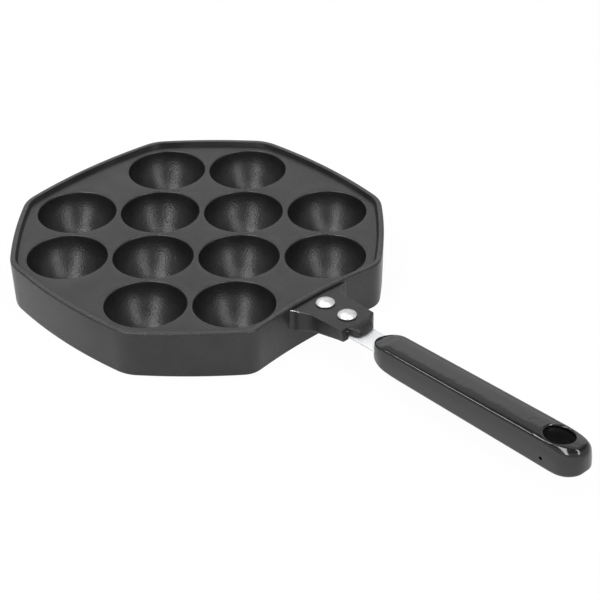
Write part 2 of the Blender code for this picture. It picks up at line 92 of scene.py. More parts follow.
# Name, place and long side as seen by the camera (right, away, up), size in metres, power in watts.
SOFTBOXES = (
    ("softbox_left", (-0.50, -0.42, 0.90), (0.0, 0.48, 0.88), (0.22, 1.85), 9.6),
    ("softbox_right", (0.50, -0.42, 0.90), (0.0, 0.48, 0.88), (0.22, 1.85), 8.4),
    ("softbox_edge", (-0.53, 0.37, 1.19), (0.73, 0.67, 0.10), (0.26, 0.36), 2.7),
    ("softbox_back", (-0.10, 2.20, 1.75), (1.0, 0.0, 0.0), (1.70, 2.6), 6.3),
)


def linear(code):
    """Linear red, green and blue of an sRGB hex colour."""
    parts = [int(code[place:place + 2], 16) / 255.0 for place in (1, 3, 5)]
    return tuple(part / 12.92 if part <= 0.04045 else ((part + 0.055) / 1.055) ** 2.4 for part in parts)


def metres(name, description, default):
    """A length in metres."""
    return FloatProperty(name=name, description=description, default=default, min=0.0,
                         precision=4, subtype="DISTANCE", unit="LENGTH")


def colour_property(name, description, code):
    """A colour given as an sRGB hex value."""
    return FloatVectorProperty(name=name, description=description, default=linear(code), size=3,
                               min=0.0, max=1.0, subtype="COLOR")


class PanSizes(bpy.types.PropertyGroup):
    """Sizes of the casting: cups, plan, rim, skirt and wall."""

    cup_pitch: metres("Cup pitch", "Distance between neighbouring cups", 0.047)
    cup_radius: metres("Cup radius", "Radius of a cup at the deck", 0.0221)
    cup_depth: metres("Cup depth", "Depth of a cup below the deck", 0.0215)
    cup_lip: metres("Cup lip", "Rounding between deck and cup", 0.0007)
    cup_wall: metres("Cup wall", "Thickness of a cup's wall", 0.0028)
    row_side_reach: metres("Row side reach", "Middle of the pan to a side along the rows", 0.1025)
    cross_side_reach: metres("Cross side reach", "Middle of the pan to a side across the rows", 0.09867)
    bracket_side_reach: metres("Bracket side reach", "Middle of the pan to the bracket's side", 0.09247)
    row_side_bow: metres("Row side bow", "Radius of the sides along the rows", 0.305)
    cross_side_bow: metres("Cross side bow", "Radius of the sides across the rows", 0.284)
    bracket_side_hollow: metres("Bracket side hollow", "Radius of the hollow side", 0.300)
    corner_radius: metres("Corner radius", "Round between two sides of the plan", 0.0215)
    bracket_corner_radius: metres("Bracket corner radius", "Round at both ends of the bracket's side", 0.013)
    rim_rise: metres("Rim rise", "Height of the rim above the deck", 0.0022)
    rim_width: metres("Rim width", "Flat width of the rim and its outer edge", 0.0028)
    rim_slope: metres("Rim slope", "Width of the slope from rim to deck", 0.0013)
    rim_foot: metres("Rim foot", "Deck kept beside the slope for its soft foot", 0.00055)
    rim_edge: metres("Rim edge", "Rounding of the rim's outer edge", 0.0009)
    base_edge: metres("Base edge", "Rounding of the bottom edge", 0.0013)
    skirt_thickness: metres("Skirt thickness", "Thickness of the outer wall at its foot", 0.003)
    skirt_draft: metres("Skirt draft", "How far the wall leans in from rim to foot", 0.001)
    deck_thickness: metres("Deck thickness", "Thickness of the deck between the cups", 0.003)
    slope_round: metres("Slope round", "Rounding at the slope's foot and top", 0.0003)
    skirt_round: metres("Skirt round", "Rounding inside the wall's foot", 0.0008)
    bowl_blend: metres("Bowl blend", "Softness between bowls and deck on the underside", 0.0007)


class BracketSizes(bpy.types.PropertyGroup):
    """Sizes of the bracket that carries the handle strip."""

    length: metres("Length", "Pan side to the bracket's front face", 0.0325)
    front_width: metres("Front width", "Width at the front face", 0.0241)
    root_width: metres("Root width", "Width beside the root fillets", 0.0252)
    fillet: metres("Root fillet", "Radius where bracket and pan meet in plan", 0.0145)
    top_drop: metres("Top drop", "Bracket top below the rim", 0.0015)
    roof: metres("Roof", "Metal above the strip", 0.0052)
    front_height: metres("Front height", "Height of the front face", 0.0066)
    root_height: metres("Root height", "Height where bracket and pan meet", 0.0127)
    edge: metres("Edge", "Rounding of the bracket's edges", 0.0008)
    nose_reach: metres("Nose reach", "How far the nose stands out over the strip", 0.0067)
    nose_offset: metres("Nose offset", "Nose top beside the strip's middle, on the notch's side", 0.0012)
    nose_notch_side: metres("Nose notch side", "Nose top to its edge beside the notch", 0.0053)
    nose_plain_side: metres("Nose plain side", "Nose top to its other edge", 0.0133)
    notch_radius: metres("Notch radius", "Small round notch beside the nose", 0.0012)
    notch_depth: metres("Notch depth", "Depth of the notch", 0.0016)
    notch_drop: metres("Notch drop", "Notch middle below the bracket's top", 0.0030)
    front_lean: metres("Front lean", "How far the foot of the front face stands out beside the notch", 0.0018)
    lean_start: metres("Lean start", "Where the lean begins, inside the channel's side", 0.0004)
    lean_run: metres("Lean run", "Width over which the lean grows", 0.0012)
    bead_reach: metres("Bead reach", "How far the bead in the notch stands out", 0.0014)
    nose_trim: metres("Nose trim", "Cut that keeps the nose off the plain side's edge", 0.0002)
    flare_limit: metres("Flare limit", "Widest flare of the root on the notch's side", 0.003915)
    flare_blend: metres("Flare blend", "Softness of that limit", 0.0012)
    foot_flare: metres("Foot flare", "Extra flare where that side meets the wall", 0.0020)
    foot_flare_run: metres("Foot flare run", "Length of the extra flare", 0.0028)
    chip_start: metres("Chip start", "Wall to the first chipped place of that side's edge", 0.0004)
    chip_end: metres("Chip end", "Wall to the last chipped place", 0.0048)
    wall_overlap: metres("Wall overlap", "How far the bracket reaches into the wall", 0.0015)
    channel_room: metres("Channel room", "Gap on each side of the strip", 0.0003)


class StripSizes(bpy.types.PropertyGroup):
    """Sizes of the handle strip and its rivets."""

    corner: metres("Strip corner", "Round corners of the strip's ends", 0.003)
    edge: metres("Strip edge", "Broken edge of the sheared strip", 0.00025)
    head_radius: metres("Rivet head radius", "Radius of a rivet's round head", 0.0051)
    head_height: metres("Rivet head height", "Height of a rivet's round head", 0.0024)
    head_lip: metres("Rivet head lip", "Upright edge of the head", 0.0005)
    shank_radius: metres("Rivet shank radius", "Radius of a rivet's shank", 0.0026)
    tail_radius: metres("Rivet tail radius", "Radius of the pressed tail", 0.0040)
    tail_height: metres("Rivet tail height", "Height of the pressed tail", 0.0015)


class GripSizes(bpy.types.PropertyGroup):
    """Sizes of the moulded grip, measured from the strip's middle plane."""

    front_width: metres("Front width", "Width of the taper at the pan's end", 0.0190)
    end_width: metres("End width", "Width of the taper at the far end", 0.0204)
    front_round: metres("Front round", "Length of the oval front in plan", 0.0136)
    end_round: metres("End round", "Length of the round far end in plan", 0.0128)
    neck_rise: metres("Neck rise", "Height at the tip of the nose", 0.0030)
    neck_depth: metres("Neck depth", "Depth at the tip of the nose", 0.0048)
    front_rise: metres("Front rise", "Height of the taper at the pan's end", 0.0062)
    front_depth: metres("Front depth", "Depth of the taper at the pan's end", 0.0078)
    end_rise: metres("End rise", "Height at the far end", 0.0069)
    end_depth: metres("End depth", "Depth at the far end", 0.0100)
    nose_length: metres("Nose length", "Run over which the nose's underside swells", 0.0220)
    nose_top_length: metres("Nose top length", "Run over which the nose's top swells", 0.0120)
    edge: metres("Edge", "Radius of the upper long edges", 0.0010)
    lower_edge: metres("Lower edge", "Radius of the lower long edges", 0.0019)
    crown: metres("Crown", "Fall of the top from its middle to its edges", 0.0013)
    side_bulge: metres("Side bulge", "How far the sides stand out below the upper edges", 0.0007)
    end_edge: metres("End edge", "Radius of the upper edges at the far end", 0.0045)
    end_edge_run: metres("End edge run", "Length over which that radius grows", 0.0210)
    end_tuck: metres("End tuck", "Rise of the underside at the far end", 0.0030)
    end_tuck_run: metres("End tuck run", "Length of that rise", 0.0160)
    hole_length: metres("Hang hole length", "Long way of the oval hole", 0.0172)
    hole_width: metres("Hang hole width", "Short way of the oval hole", 0.0136)
    hole_from_end: metres("Hang hole from end", "Middle of the hole to the far end", 0.0176)
    hole_mouth: metres("Hang hole mouth", "Rounding of the hole's mouth", 0.0009)
    side_hole_radius: metres("Side hole radius", "Radius of the small side hole", 0.0010)
    side_hole_depth: metres("Side hole depth", "Depth of the small side hole", 0.0022)
    side_hole_from_end: metres("Side hole from end", "Side hole to the far end", 0.0204)
    side_hole_drop: metres("Side hole drop", "Side hole below the strip's middle", 0.0040)
    hole_margin: metres("Hang hole margin", "Surface around the mouth that carries its rings", 0.0009)
    side_hole_margin: metres("Side hole margin", "Half length of the patch around the side hole", 0.0019)
    side_hole_mouth: metres("Side hole mouth", "Rounding of the side hole's mouth", 0.0002)


class FinishColours(bpy.types.PropertyGroup):
    """Colours of the finishes."""

    coating: colour_property("Coating", "Non-stick coating on the casting", "#0F0F10")
    coating_light: colour_property("Coating, light", "Thin or rubbed places of the coating", "#606162")
    strip: colour_property("Strip", "Plated steel strip", "#F4F5F6")
    rivet: colour_property("Rivet", "Bare aluminium rivets", "#F2F2F2")
    phenolic: colour_property("Phenolic", "Moulded phenolic of the grip", "#0B0B0C")
    floor: colour_property("Floor", "Studio floor and backdrop", "#F4F4F4")


class StageSizes(bpy.types.PropertyGroup):
    """Studio: floor, backdrop, lamps and camera."""

    floor_radius: metres("Floor radius", "Radius of the round studio floor", 3.2)
    backdrop_height: metres("Backdrop height", "Height of the backdrop above the floor", 2.6)
    lens: FloatProperty(name="Lens", description="Focal length in millimetres", default=128.5, min=1.0)


def unit(angle):
    """Unit vectors at angles in the plan."""
    return np.stack((np.cos(angle), np.sin(angle)), axis=-1)


def bearing(gap):
    """Angle of a plan vector."""
    return np.arctan2(gap[..., 1], gap[..., 0])


def wrapped(angle):
    """Angle brought between minus and plus half a turn."""
    return np.mod(angle + math.pi, 2.0 * math.pi) - math.pi


def lifted(plan, height):
    """Plan points with a height."""
    height = np.broadcast_to(height, plan.shape[:-1])
    return np.concatenate((plan, height[..., None]), axis=-1)


def grid_quads(shape, closed=False):
    """Quads of a grid of points, rows by columns; closed joins the last column to the first."""
    rows, columns = shape
    nodes = np.arange(rows * columns).reshape(rows, columns)
    following = np.roll(nodes, -1, axis=1)
    quads = np.stack((nodes[:-1], following[:-1], following[1:], nodes[1:]), axis=-1)
    if not closed:
        quads = quads[:, :-1]
    return quads


class Shell:
    """Patches of points and quads gathered into one closed mesh."""

    def __init__(self):
        self.points, self.quads, self.wear, self.count = [], [], [], 0

    def add(self, points, quads, wear=0.0):
        """Take a patch; quads number that patch's own points."""
        flat = points.reshape(-1, 3)
        self.quads.append(quads.reshape(-1, 4) + self.count)
        self.points.append(flat)
        self.wear.append(np.broadcast_to(wear, points.shape[:-1]).reshape(-1))
        self.count += len(flat)

    def grid(self, points, closed=False, wear=0.0):
        """Take a grid of points as a patch."""
        self.add(points, grid_quads(points.shape[:2], closed), wear)

    def finish(self, name, material, nodes, smooth_angle=SMOOTH_ANGLE):
        """Join the patches at shared points, turn the faces outwards and hand the piece to the frame."""
        mesh = bpy.data.meshes.new(name)
        mesh.from_pydata(np.concatenate(self.points), [], np.concatenate(self.quads))
        # This attribute carries coating wear, and also the marks for painted shade in the rim groove and inside the
        # hang hole.
        wear_and_shade_layer = mesh.attributes.new("edge_wear", "FLOAT", "POINT")
        wear_and_shade_layer.data.foreach_set("value", np.concatenate(self.wear).astype(np.float32))
        shape = bmesh.new()
        shape.from_mesh(mesh)
        bmesh.ops.remove_doubles(shape, verts=shape.verts, dist=MERGE_DISTANCE)
        bmesh.ops.dissolve_degenerate(shape, edges=shape.edges, dist=MERGE_DISTANCE)
        bmesh.ops.recalc_face_normals(shape, faces=shape.faces)
        open_edges = sum(1 for edge in shape.edges if len(edge.link_faces) != 2)
        if open_edges:
            raise RuntimeError(f"{name} has {open_edges} open edges")
        shape.to_mesh(mesh)
        shape.free()
        mesh.shade_smooth()
        mesh.set_sharp_from_angle(angle=smooth_angle)
        mesh.materials.append(material)
        piece = bpy.data.objects.new(name, mesh)
        bpy.context.scene.collection.objects.link(piece)
        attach(piece, "root")
        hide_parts(*nodes)
        return piece


def rounded_path(corners, radii, steps):
    """Polyline whose inner corners are arcs that touch both sides.

    The arc of radius r at a corner of opening angle a starts r / tan(a / 2) from the corner, and its centre lies
    r / sin(a / 2) from the corner along the bisector.
    """
    corners = np.asarray(corners, float)
    back = corners[:-2] - corners[1:-1]
    ahead = corners[2:] - corners[1:-1]
    back /= np.linalg.norm(back, axis=1)[:, None]
    ahead /= np.linalg.norm(ahead, axis=1)[:, None]
    half = np.arccos(np.clip((back * ahead).sum(axis=1), -1.0, 1.0)) / 2.0
    radius = np.asarray(radii, float)
    bisector = back + ahead
    bisector /= np.linalg.norm(bisector, axis=1)[:, None]
    centre = corners[1:-1] + bisector * (radius / np.sin(half))[:, None]
    run = (radius / np.tan(half))[:, None]
    start = bearing(corners[1:-1] + back * run - centre)
    sweep = wrapped(bearing(corners[1:-1] + ahead * run - centre) - start)
    angle = start[:, None] + sweep[:, None] * np.linspace(0.0, 1.0, steps + 1)
    arcs = centre[:, None] + radius[:, None, None] * unit(angle)
    return np.concatenate((corners[:1], arcs.reshape(-1, 2), corners[-1:]))


class PlanCurve:
    """The casting's plan as a walk along sixteen arcs: eight bowed sides and the corners between them.

    Side k is part of a circle whose centre lies at (reach - bow) on the bearing k * 45 degrees. A corner circle of
    radius R touches two side circles, so its centre is |bow - R| from both of theirs. A point at inset i is the
    point of the arc minus i times the outward normal.
    """

    def __init__(self, sizes):
        turn = np.arange(8) * math.pi / 4.0
        along_rows = np.arange(8) % 2 == 1
        reach = np.where(along_rows, sizes.row_side_reach, sizes.cross_side_reach)
        bow = np.where(along_rows, sizes.row_side_bow, sizes.cross_side_bow)
        reach[0], bow[0] = sizes.bracket_side_reach, -sizes.bracket_side_hollow
        middle = (reach - bow)[:, None] * unit(turn)
        rounding = np.full(8, sizes.corner_radius)
        rounding[[0, 7]] = sizes.bracket_corner_radius
        first = np.abs(bow - rounding)
        second = np.abs(np.roll(bow, -1) - rounding)
        gap = np.roll(middle, -1, axis=0) - middle
        span = np.linalg.norm(gap, axis=1)
        along = (span ** 2 + first ** 2 - second ** 2) / (2.0 * span)
        across = np.sqrt(first ** 2 - along ** 2)
        ahead = gap / span[:, None]
        beside = np.stack((-ahead[:, 1], ahead[:, 0]), axis=-1)
        left = middle + along[:, None] * ahead + across[:, None] * beside
        right = middle + along[:, None] * ahead - across[:, None] * beside
        heading = unit(turn + math.pi / 8.0)
        outer = ((left - right) * heading).sum(axis=1) > 0.0
        corner = np.where(outer[:, None], left, right)
        start = bearing(np.roll(corner, 1, axis=0) - middle)
        end = bearing(corner - middle)
        hollow = bow < 0.0
        normal_end = end + np.where(hollow, math.pi, 0.0)
        normal_start = np.roll(start + np.where(hollow, math.pi, 0.0), -1)
        self.centre = np.stack((middle, corner), axis=1).reshape(16, 2)
        self.radius = np.stack((np.abs(bow), rounding), axis=1).reshape(16)
        self.start = np.stack((start, normal_end), axis=1).reshape(16)
        self.sweep = np.stack((wrapped(end - start), wrapped(normal_start - normal_end)), axis=1).reshape(16)
        self.facing = np.stack((np.where(hollow, -1.0, 1.0), np.ones(8)), axis=1).reshape(16)
        self.lengths = self.radius * np.abs(self.sweep)
        self.ends = np.cumsum(self.lengths)
        self.length = self.ends[-1]

    def at(self, walk, inset=0.0):
        """Plan points at distances along the walk, drawn in by an inset."""
        walk = np.mod(walk, self.length)
        arc = np.minimum(np.searchsorted(self.ends, walk, side="right"), 15)
        share = 1.0 - (self.ends[arc] - walk) / self.lengths[arc]
        outward = unit(self.start[arc] + self.sweep[arc] * share)
        point = self.centre[arc] + self.radius[arc][..., None] * outward
        drawn = np.asarray(inset)[..., None] * self.facing[arc][..., None]
        return point - drawn * outward


def cup_centres(sizes):
    """Places of the cups about the pan's middle: a square grid without its corners, turned 45 degrees."""
    steps = np.arange(CUP_COUNT_ACROSS) - (CUP_COUNT_ACROSS - 1) / 2.0
    row, column = np.meshgrid(steps, steps, indexing="ij")
    kept = np.abs(row) + np.abs(column) < CUP_COUNT_ACROSS - 1
    row, column = row[kept], column[kept]
    return np.stack((column - row, column + row), axis=-1) * SIN_45 * sizes.cup_pitch


def cup_cells(sizes, plan, inset):
    """Edge of the deck around each cup, on rays from the cup's middle.

    Along a ray at angle t the edge is the nearer of the drawn-in plan and the middle lines to the other cups, which
    lie at (half their distance) / cos(t - bearing). The ray nearest to a place where the two change over is moved
    onto it, so that neighbouring cells share their corners. Returns edge points and walks, nan off the plan.
    """
    centres = cup_centres(sizes)
    table = np.linspace(0.0, plan.length, PLAN_TABLE, endpoint=False)
    outline = plan.at(table, inset)
    gap = centres[None] - centres[:, None]
    half = np.linalg.norm(gap, axis=-1) / 2.0
    toward = bearing(gap)
    sight = [np.unwrap(bearing(outline - centre)) for centre in centres]

    def distances(angles):
        facing = np.cos(angles[:, :, None] - toward[:, None, :])
        open_ray = (facing > 1e-9) & (half > 0.0)[:, None, :]
        middle_line = np.where(open_ray, half[:, None, :] / np.where(open_ray, facing, 1.0), np.inf).min(axis=-1)
        walks = []
        for line, angle in zip(sight, angles):
            turned = line[0] + np.mod(angle - line[0], 2.0 * math.pi)
            walks.append(np.interp(turned, np.append(line, line[0] + 2.0 * math.pi), np.append(table, plan.length)))
        walks = np.array(walks)
        return middle_line, np.linalg.norm(plan.at(walks, inset) - centres[:, None], axis=-1), walks

    step = 2.0 * math.pi / CELL_ANGLES
    angles = np.tile(np.arange(CELL_ANGLES) * step, (len(centres), 1))
    middle_line, plan_line, walks = distances(angles)
    on_plan = plan_line < middle_line
    low, high = angles.copy(), angles + step
    for _ in range(HALVINGS):
        middle = (low + high) / 2.0
        middle_line, plan_line, walks = distances(middle)
        same = (plan_line < middle_line) == on_plan
        low, high = np.where(same, middle, low), np.where(same, high, middle)
    cup, ray = np.nonzero(on_plan != np.roll(on_plan, -1, axis=1))
    change = low[cup, ray]
    later = change - angles[cup, ray] > step / 2.0
    target = (ray + later) % CELL_ANGLES
    angles[cup, target] = change
    middle_line, plan_line, walks = distances(angles)
    on_plan = plan_line <= middle_line
    on_plan[cup, target] = True
    rays = centres[:, None] + np.where(on_plan, 0.0, middle_line)[..., None] * unit(angles)
    edge = np.where(on_plan[..., None], plan.at(walks, inset), rays)
    return centres, angles, edge, np.where(on_plan, walks, np.nan)


def underside_height(points, centres, sizes, deck_z):
    """Height of the underside: the lowest of the deck's underside and the bowls' outer spheres, softly blended.

    A bowl's sphere gives z = m - sqrt(R^2 - r^2), carried on in a straight line past the deck's underside, and the
    blend is -s * ln(sum(exp(-z / s))).
    """
    sphere = (sizes.cup_radius ** 2 + sizes.cup_depth ** 2) / (2.0 * sizes.cup_depth)
    rise = sphere - sizes.cup_depth
    outer = sphere + sizes.cup_wall
    blend = sizes.bowl_blend
    flat = deck_z - sizes.deck_thickness
    last = math.sqrt(outer ** 2 - (rise + sizes.deck_thickness) ** 2)
    slope = last / math.sqrt(outer ** 2 - last ** 2)
    away = np.linalg.norm(points[..., None, :] - centres, axis=-1)
    ball = deck_z + rise - np.sqrt(outer ** 2 - np.minimum(away, last) ** 2) + slope * np.maximum(0.0, away - last)
    heights = np.concatenate((ball, np.full(ball.shape[:-1] + (1,), flat)), axis=-1)
    lowest = heights.min(axis=-1)
    return lowest - blend * np.log(np.exp(-(heights - lowest[..., None]) / blend).sum(axis=-1))


def make_casting(sizes, material):
    """Deck, cups, rim, wall and underside of the casting as one closed skin.

    Cup: r = R sin(a), z = m - R cos(a) below the deck, then a lip arc that touches sphere and deck, then straight
    lines from the lip to the cell's edge. Rim and wall: a profile of (inset, height) carried round the plan.
    """
    plan = PlanCurve(sizes)
    deck_z = PAN_HIGH[2] - sizes.rim_rise
    rim_z = PAN_HIGH[2]
    pan_x = PAN_LOW[0] + sizes.cross_side_reach
    slope_inset = sizes.rim_width + sizes.rim_slope
    deck_inset = slope_inset + sizes.rim_foot
    inner_inset = sizes.skirt_draft + sizes.skirt_thickness
    centres, angles, edge, walks = cup_cells(sizes, plan, deck_inset)

    sphere = (sizes.cup_radius ** 2 + sizes.cup_depth ** 2) / (2.0 * sizes.cup_depth)
    rise = sphere - sizes.cup_depth
    lip = sizes.cup_lip
    lip_middle = math.sqrt((sphere + lip) ** 2 - (lip + rise) ** 2)
    if np.linalg.norm(edge - centres[:, None], axis=-1).min() <= lip_middle:
        raise RuntimeError("a cup's lip runs into the rim")
    touch = math.atan2(lip_middle, lip + rise)
    bowl_angle = touch * np.linspace(0.0, 1.0, 25)
    bowl = np.stack((sphere * np.sin(bowl_angle), deck_z + rise - sphere * np.cos(bowl_angle)), axis=-1)
    lip_angle = np.linspace(math.pi / 2.0 + touch, math.pi / 2.0, 7)[1:]
    arc = np.array((lip_middle, deck_z - lip)) + lip * unit(lip_angle)
    profile = np.concatenate((bowl, arc))
    rays = unit(angles)
    cup_plan = centres[:, None, None] + profile[None, :, None, 0:1] * rays[:, None]
    cup_points = lifted(cup_plan, profile[None, :, None, 1])
    across = np.array(DECK_SHARES)[None, :, None, None]
    lip_edge = cup_plan[:, -1:]
    deck_points = lifted(lip_edge + (edge[:, None] - lip_edge) * across, deck_z)
    from_lip = np.arange(len(profile)) - (len(profile) - 4.0)
    wear = np.concatenate((np.exp(-(from_lip / 2.0) ** 2), (0.25, 0.05, 0.0)))
    shell = Shell()
    for cup, deck in zip(cup_points, deck_points):
        shell.grid(np.concatenate((cup, deck)), closed=True, wear=wear[:, None])

    ring = np.sort(walks[~np.isnan(walks)])
    ring = ring[np.append(True, np.diff(ring) > MERGE_DISTANCE)]
    corners = ((deck_inset, deck_z), (slope_inset, deck_z), (sizes.rim_width, rim_z), (0.0, rim_z),
               (sizes.skirt_draft, 0.0), (inner_inset, 0.0), (inner_inset, sizes.deck_thickness))
    radii = (sizes.slope_round, sizes.slope_round, sizes.rim_edge, sizes.base_edge, sizes.skirt_round)
    rim = rounded_path(corners, radii, 5)
    rim_plan = plan.at(ring[None, :], rim[:, 0:1])
    rim_points = lifted(rim_plan, rim[:, 1:2])
    inner = plan.at(ring, inner_inset)
    inner_top = lifted(inner, underside_height(inner, centres, sizes, deck_z))
    rim_wear_and_groove_shade = np.zeros(len(rim))
    # The groove rows get -1: painted shade of the groove inside the rim, drawn as a lower specular level of the
    # coating.
    rim_wear_and_groove_shade[GROOVE_ROWS] = -1.0
    rim_wear_and_groove_shade[RIM_ROWS] = 1.0
    rim_wear_and_groove_shade[RIM_EDGE_ROWS] = 0.2
    shell.grid(np.concatenate((rim_points, inner_top[None])), closed=True, wear=np.append(rim_wear_and_groove_shade, 0.0)[:, None])

    drawn = np.where(np.isnan(walks)[..., None], edge, plan.at(np.nan_to_num(walks), inner_inset))
    share = np.sin(np.linspace(0.0, 1.0, 18) * math.pi / 2.0)[None, :, None, None]
    under_plan = centres[:, None, None] + (drawn - centres[:, None])[:, None] * share
    under = lifted(under_plan, underside_height(under_plan, centres, sizes, deck_z))
    for patch in under:
        shell.grid(patch, closed=True)
    shell.points = [points + np.array((pan_x, 0.0, 0.0)) for points in shell.points]
    return shell.finish("pan_body", material, ("pan_casting",))


def block_skin(solid):
    """Quads of node numbers round the solid cells of a block: one wherever a solid cell meets an empty one."""
    shape = np.array(solid.shape) + 1
    nodes = np.arange(np.prod(shape)).reshape(shape)
    filled = np.pad(solid, 1).astype(int)
    quads = []
    for axis in range(3):
        core = [slice(1, -1)] * 3
        core[axis] = slice(None)
        meets = np.diff(filled[tuple(core)], axis=axis) != 0
        first, second = [other for other in range(3) if other != axis]
        corners = []
        for first_step, second_step in ((0, 0), (1, 0), (1, 1), (0, 1)):
            cut = [slice(None)] * 3
            cut[first] = slice(first_step, shape[first] - 1 + first_step)
            cut[second] = slice(second_step, shape[second] - 1 + second_step)
            corners.append(nodes[tuple(cut)])
        quads.append(np.stack(corners, axis=-1)[meets])
    return np.concatenate(quads)


def make_bracket(pan, sizes, material):
    """Bracket as a block of nodes (along, across, up) bent to shape, its channel left empty, then subdivided.

    Half width: w + F (1 - sin a) at x = F (1 - cos a) over the root fillet, then a straight taper to the front. On
    the notch's side it is held to a limit by -s ln(exp(-half / s) + exp(-limit / s)), then widened at the wall by
    f (1 - x / r)^2. Underside: front height plus a slope towards the root. The front face stands out by the nose,
    whose outline (1 - v^p)^(1 / p) is full on the notch's side and round on the other, where a slanting cut trims
    it, times the profile (1 - h^q)^(1 / q) over the height. It goes in at the notch by exp(-d^4), where one node
    stands out as a bead, and beside the notch it leans out in a straight line towards its foot.
    """
    pan_x = PAN_LOW[0] + pan.cross_side_reach
    wall = pan_x + pan.bracket_side_reach
    front = wall + sizes.length
    top = PAN_HIGH[2] - sizes.top_drop
    ceiling = top - sizes.roof
    channel = (STRIP_HIGH[1] - STRIP_LOW[1]) / 2.0 + sizes.channel_room
    turn = np.radians(np.linspace(0.0, 90.0, 13))
    fillet_x = wall + sizes.fillet * (1.0 - np.cos(turn))
    fillet_half = sizes.root_width / 2.0 + sizes.fillet * (1.0 - np.sin(turn))
    straight_x = np.concatenate((np.linspace(fillet_x[-1], front - sizes.edge, 9)[1:], (front,)))
    taper = (straight_x - fillet_x[-1]) / (front - fillet_x[-1])
    straight_half = (sizes.root_width + (sizes.front_width - sizes.root_width) * taper) / 2.0
    along = np.concatenate(((wall - sizes.wall_overlap,), fillet_x, straight_x))
    half = np.concatenate((fillet_half[:1], fillet_half, straight_half))

    soft, limit = sizes.flare_blend, sizes.root_width / 2.0 + sizes.flare_limit
    held = -soft * np.log(np.exp(-half / soft) + np.exp(-limit / soft))
    at_wall = np.maximum(0.0, 1.0 - np.maximum(along - wall, 0.0) / sizes.foot_flare_run)
    notch_half = held + sizes.foot_flare * at_wall ** 2
    y_notch, y_plain = (channel + (reach[:, None] - channel) * LEG_SHARES for reach in (notch_half, half))
    y_roof = np.tile(channel * np.linspace(-1.0, 1.0, 19)[1:-1], (len(along), 1))
    across = np.concatenate((-y_notch, y_roof, y_plain[:, ::-1]), axis=1)
    bottom = top - (sizes.front_height + (sizes.root_height - sizes.front_height) * (front - along) / sizes.length)
    up = np.concatenate((bottom[:, None] + (ceiling - bottom[:, None]) * LEG_RISES,
                         np.tile(ceiling + (top - ceiling) * ROOF_RISES, (len(along), 1))), axis=1)
    shape = (len(along), across.shape[1], up.shape[1])
    nodes = np.empty(shape + (3,))
    nodes[..., 0] = along[:, None, None]
    nodes[..., 1] = across[:, :, None]
    nodes[..., 2] = up[:, None, :]

    face = nodes[-1]
    from_top = face[..., 1] + sizes.nose_offset
    notch_side = from_top < 0.0
    nose_y = np.minimum(np.abs(from_top) / np.where(notch_side, sizes.nose_notch_side, sizes.nose_plain_side), 1.0)
    nose_z = np.clip((face[..., 2] - ceiling) / sizes.roof, 0.0, 1.0)
    fullness = np.where(notch_side, NOSE_FULLNESS_NOTCH, NOSE_FULLNESS_PLAIN)
    reach = np.clip(1.0 - nose_y ** fullness, 0.0, 1.0) ** (1.0 / fullness) * sizes.nose_reach
    reach = np.minimum(reach, np.maximum(half[-1] - sizes.nose_trim - face[..., 1], 0.0))
    bump = reach * (1.0 - nose_z ** NOSE_FULLNESS_UP) ** (1.0 / NOSE_FULLNESS_UP)
    bump[face[..., 2] < ceiling - MERGE_DISTANCE] = 0.0
    notch_y = -sizes.nose_offset - sizes.nose_notch_side - sizes.notch_radius * 0.35
    from_notch = np.hypot(face[..., 1] - notch_y, face[..., 2] - (top - sizes.notch_drop)) / sizes.notch_radius
    dip = sizes.notch_depth * np.exp(-from_notch ** 4)
    beside = np.clip((-face[..., 1] - channel + sizes.lean_start) / sizes.lean_run, 0.0, 1.0)
    lean = sizes.front_lean * beside * (top - face[..., 2]) / sizes.front_height
    face[..., 0] += bump - dip + lean
    bead = np.unravel_index(np.argmin(from_notch), from_notch.shape)
    face[bead][0] += sizes.bead_reach

    solid = np.ones((shape[0] - 1, shape[1] - 1, shape[2] - 1), bool)
    legs = len(LEG_SHARES) - 1
    solid[1:, legs:-legs, :len(LEG_RISES)] = False
    outer = np.zeros(shape)
    outer[:, (0, -1), -1] = 1.0
    outer[-1, :, -1] = 1.0
    outer[-1, (0, -1), :] = 1.0
    outer[-1][bead] = BEAD_WEAR
    outer[(along > wall + sizes.chip_start) & (along < wall + sizes.chip_end), 0, -1] = CHIP_WEAR
    quads = block_skin(solid)
    used, renumbered = np.unique(quads, return_inverse=True)
    shell = Shell()
    shell.add(nodes.reshape(-1, 3)[used], renumbered.reshape(-1, 4), outer.reshape(-1)[used])
    piece = shell.finish("handle_bracket", material, ("pan_casting",), math.pi)
    rounding = piece.modifiers.new("cast_rounding", "SUBSURF")
    rounding.levels = 2
    rounding.render_levels = 2
    return piece


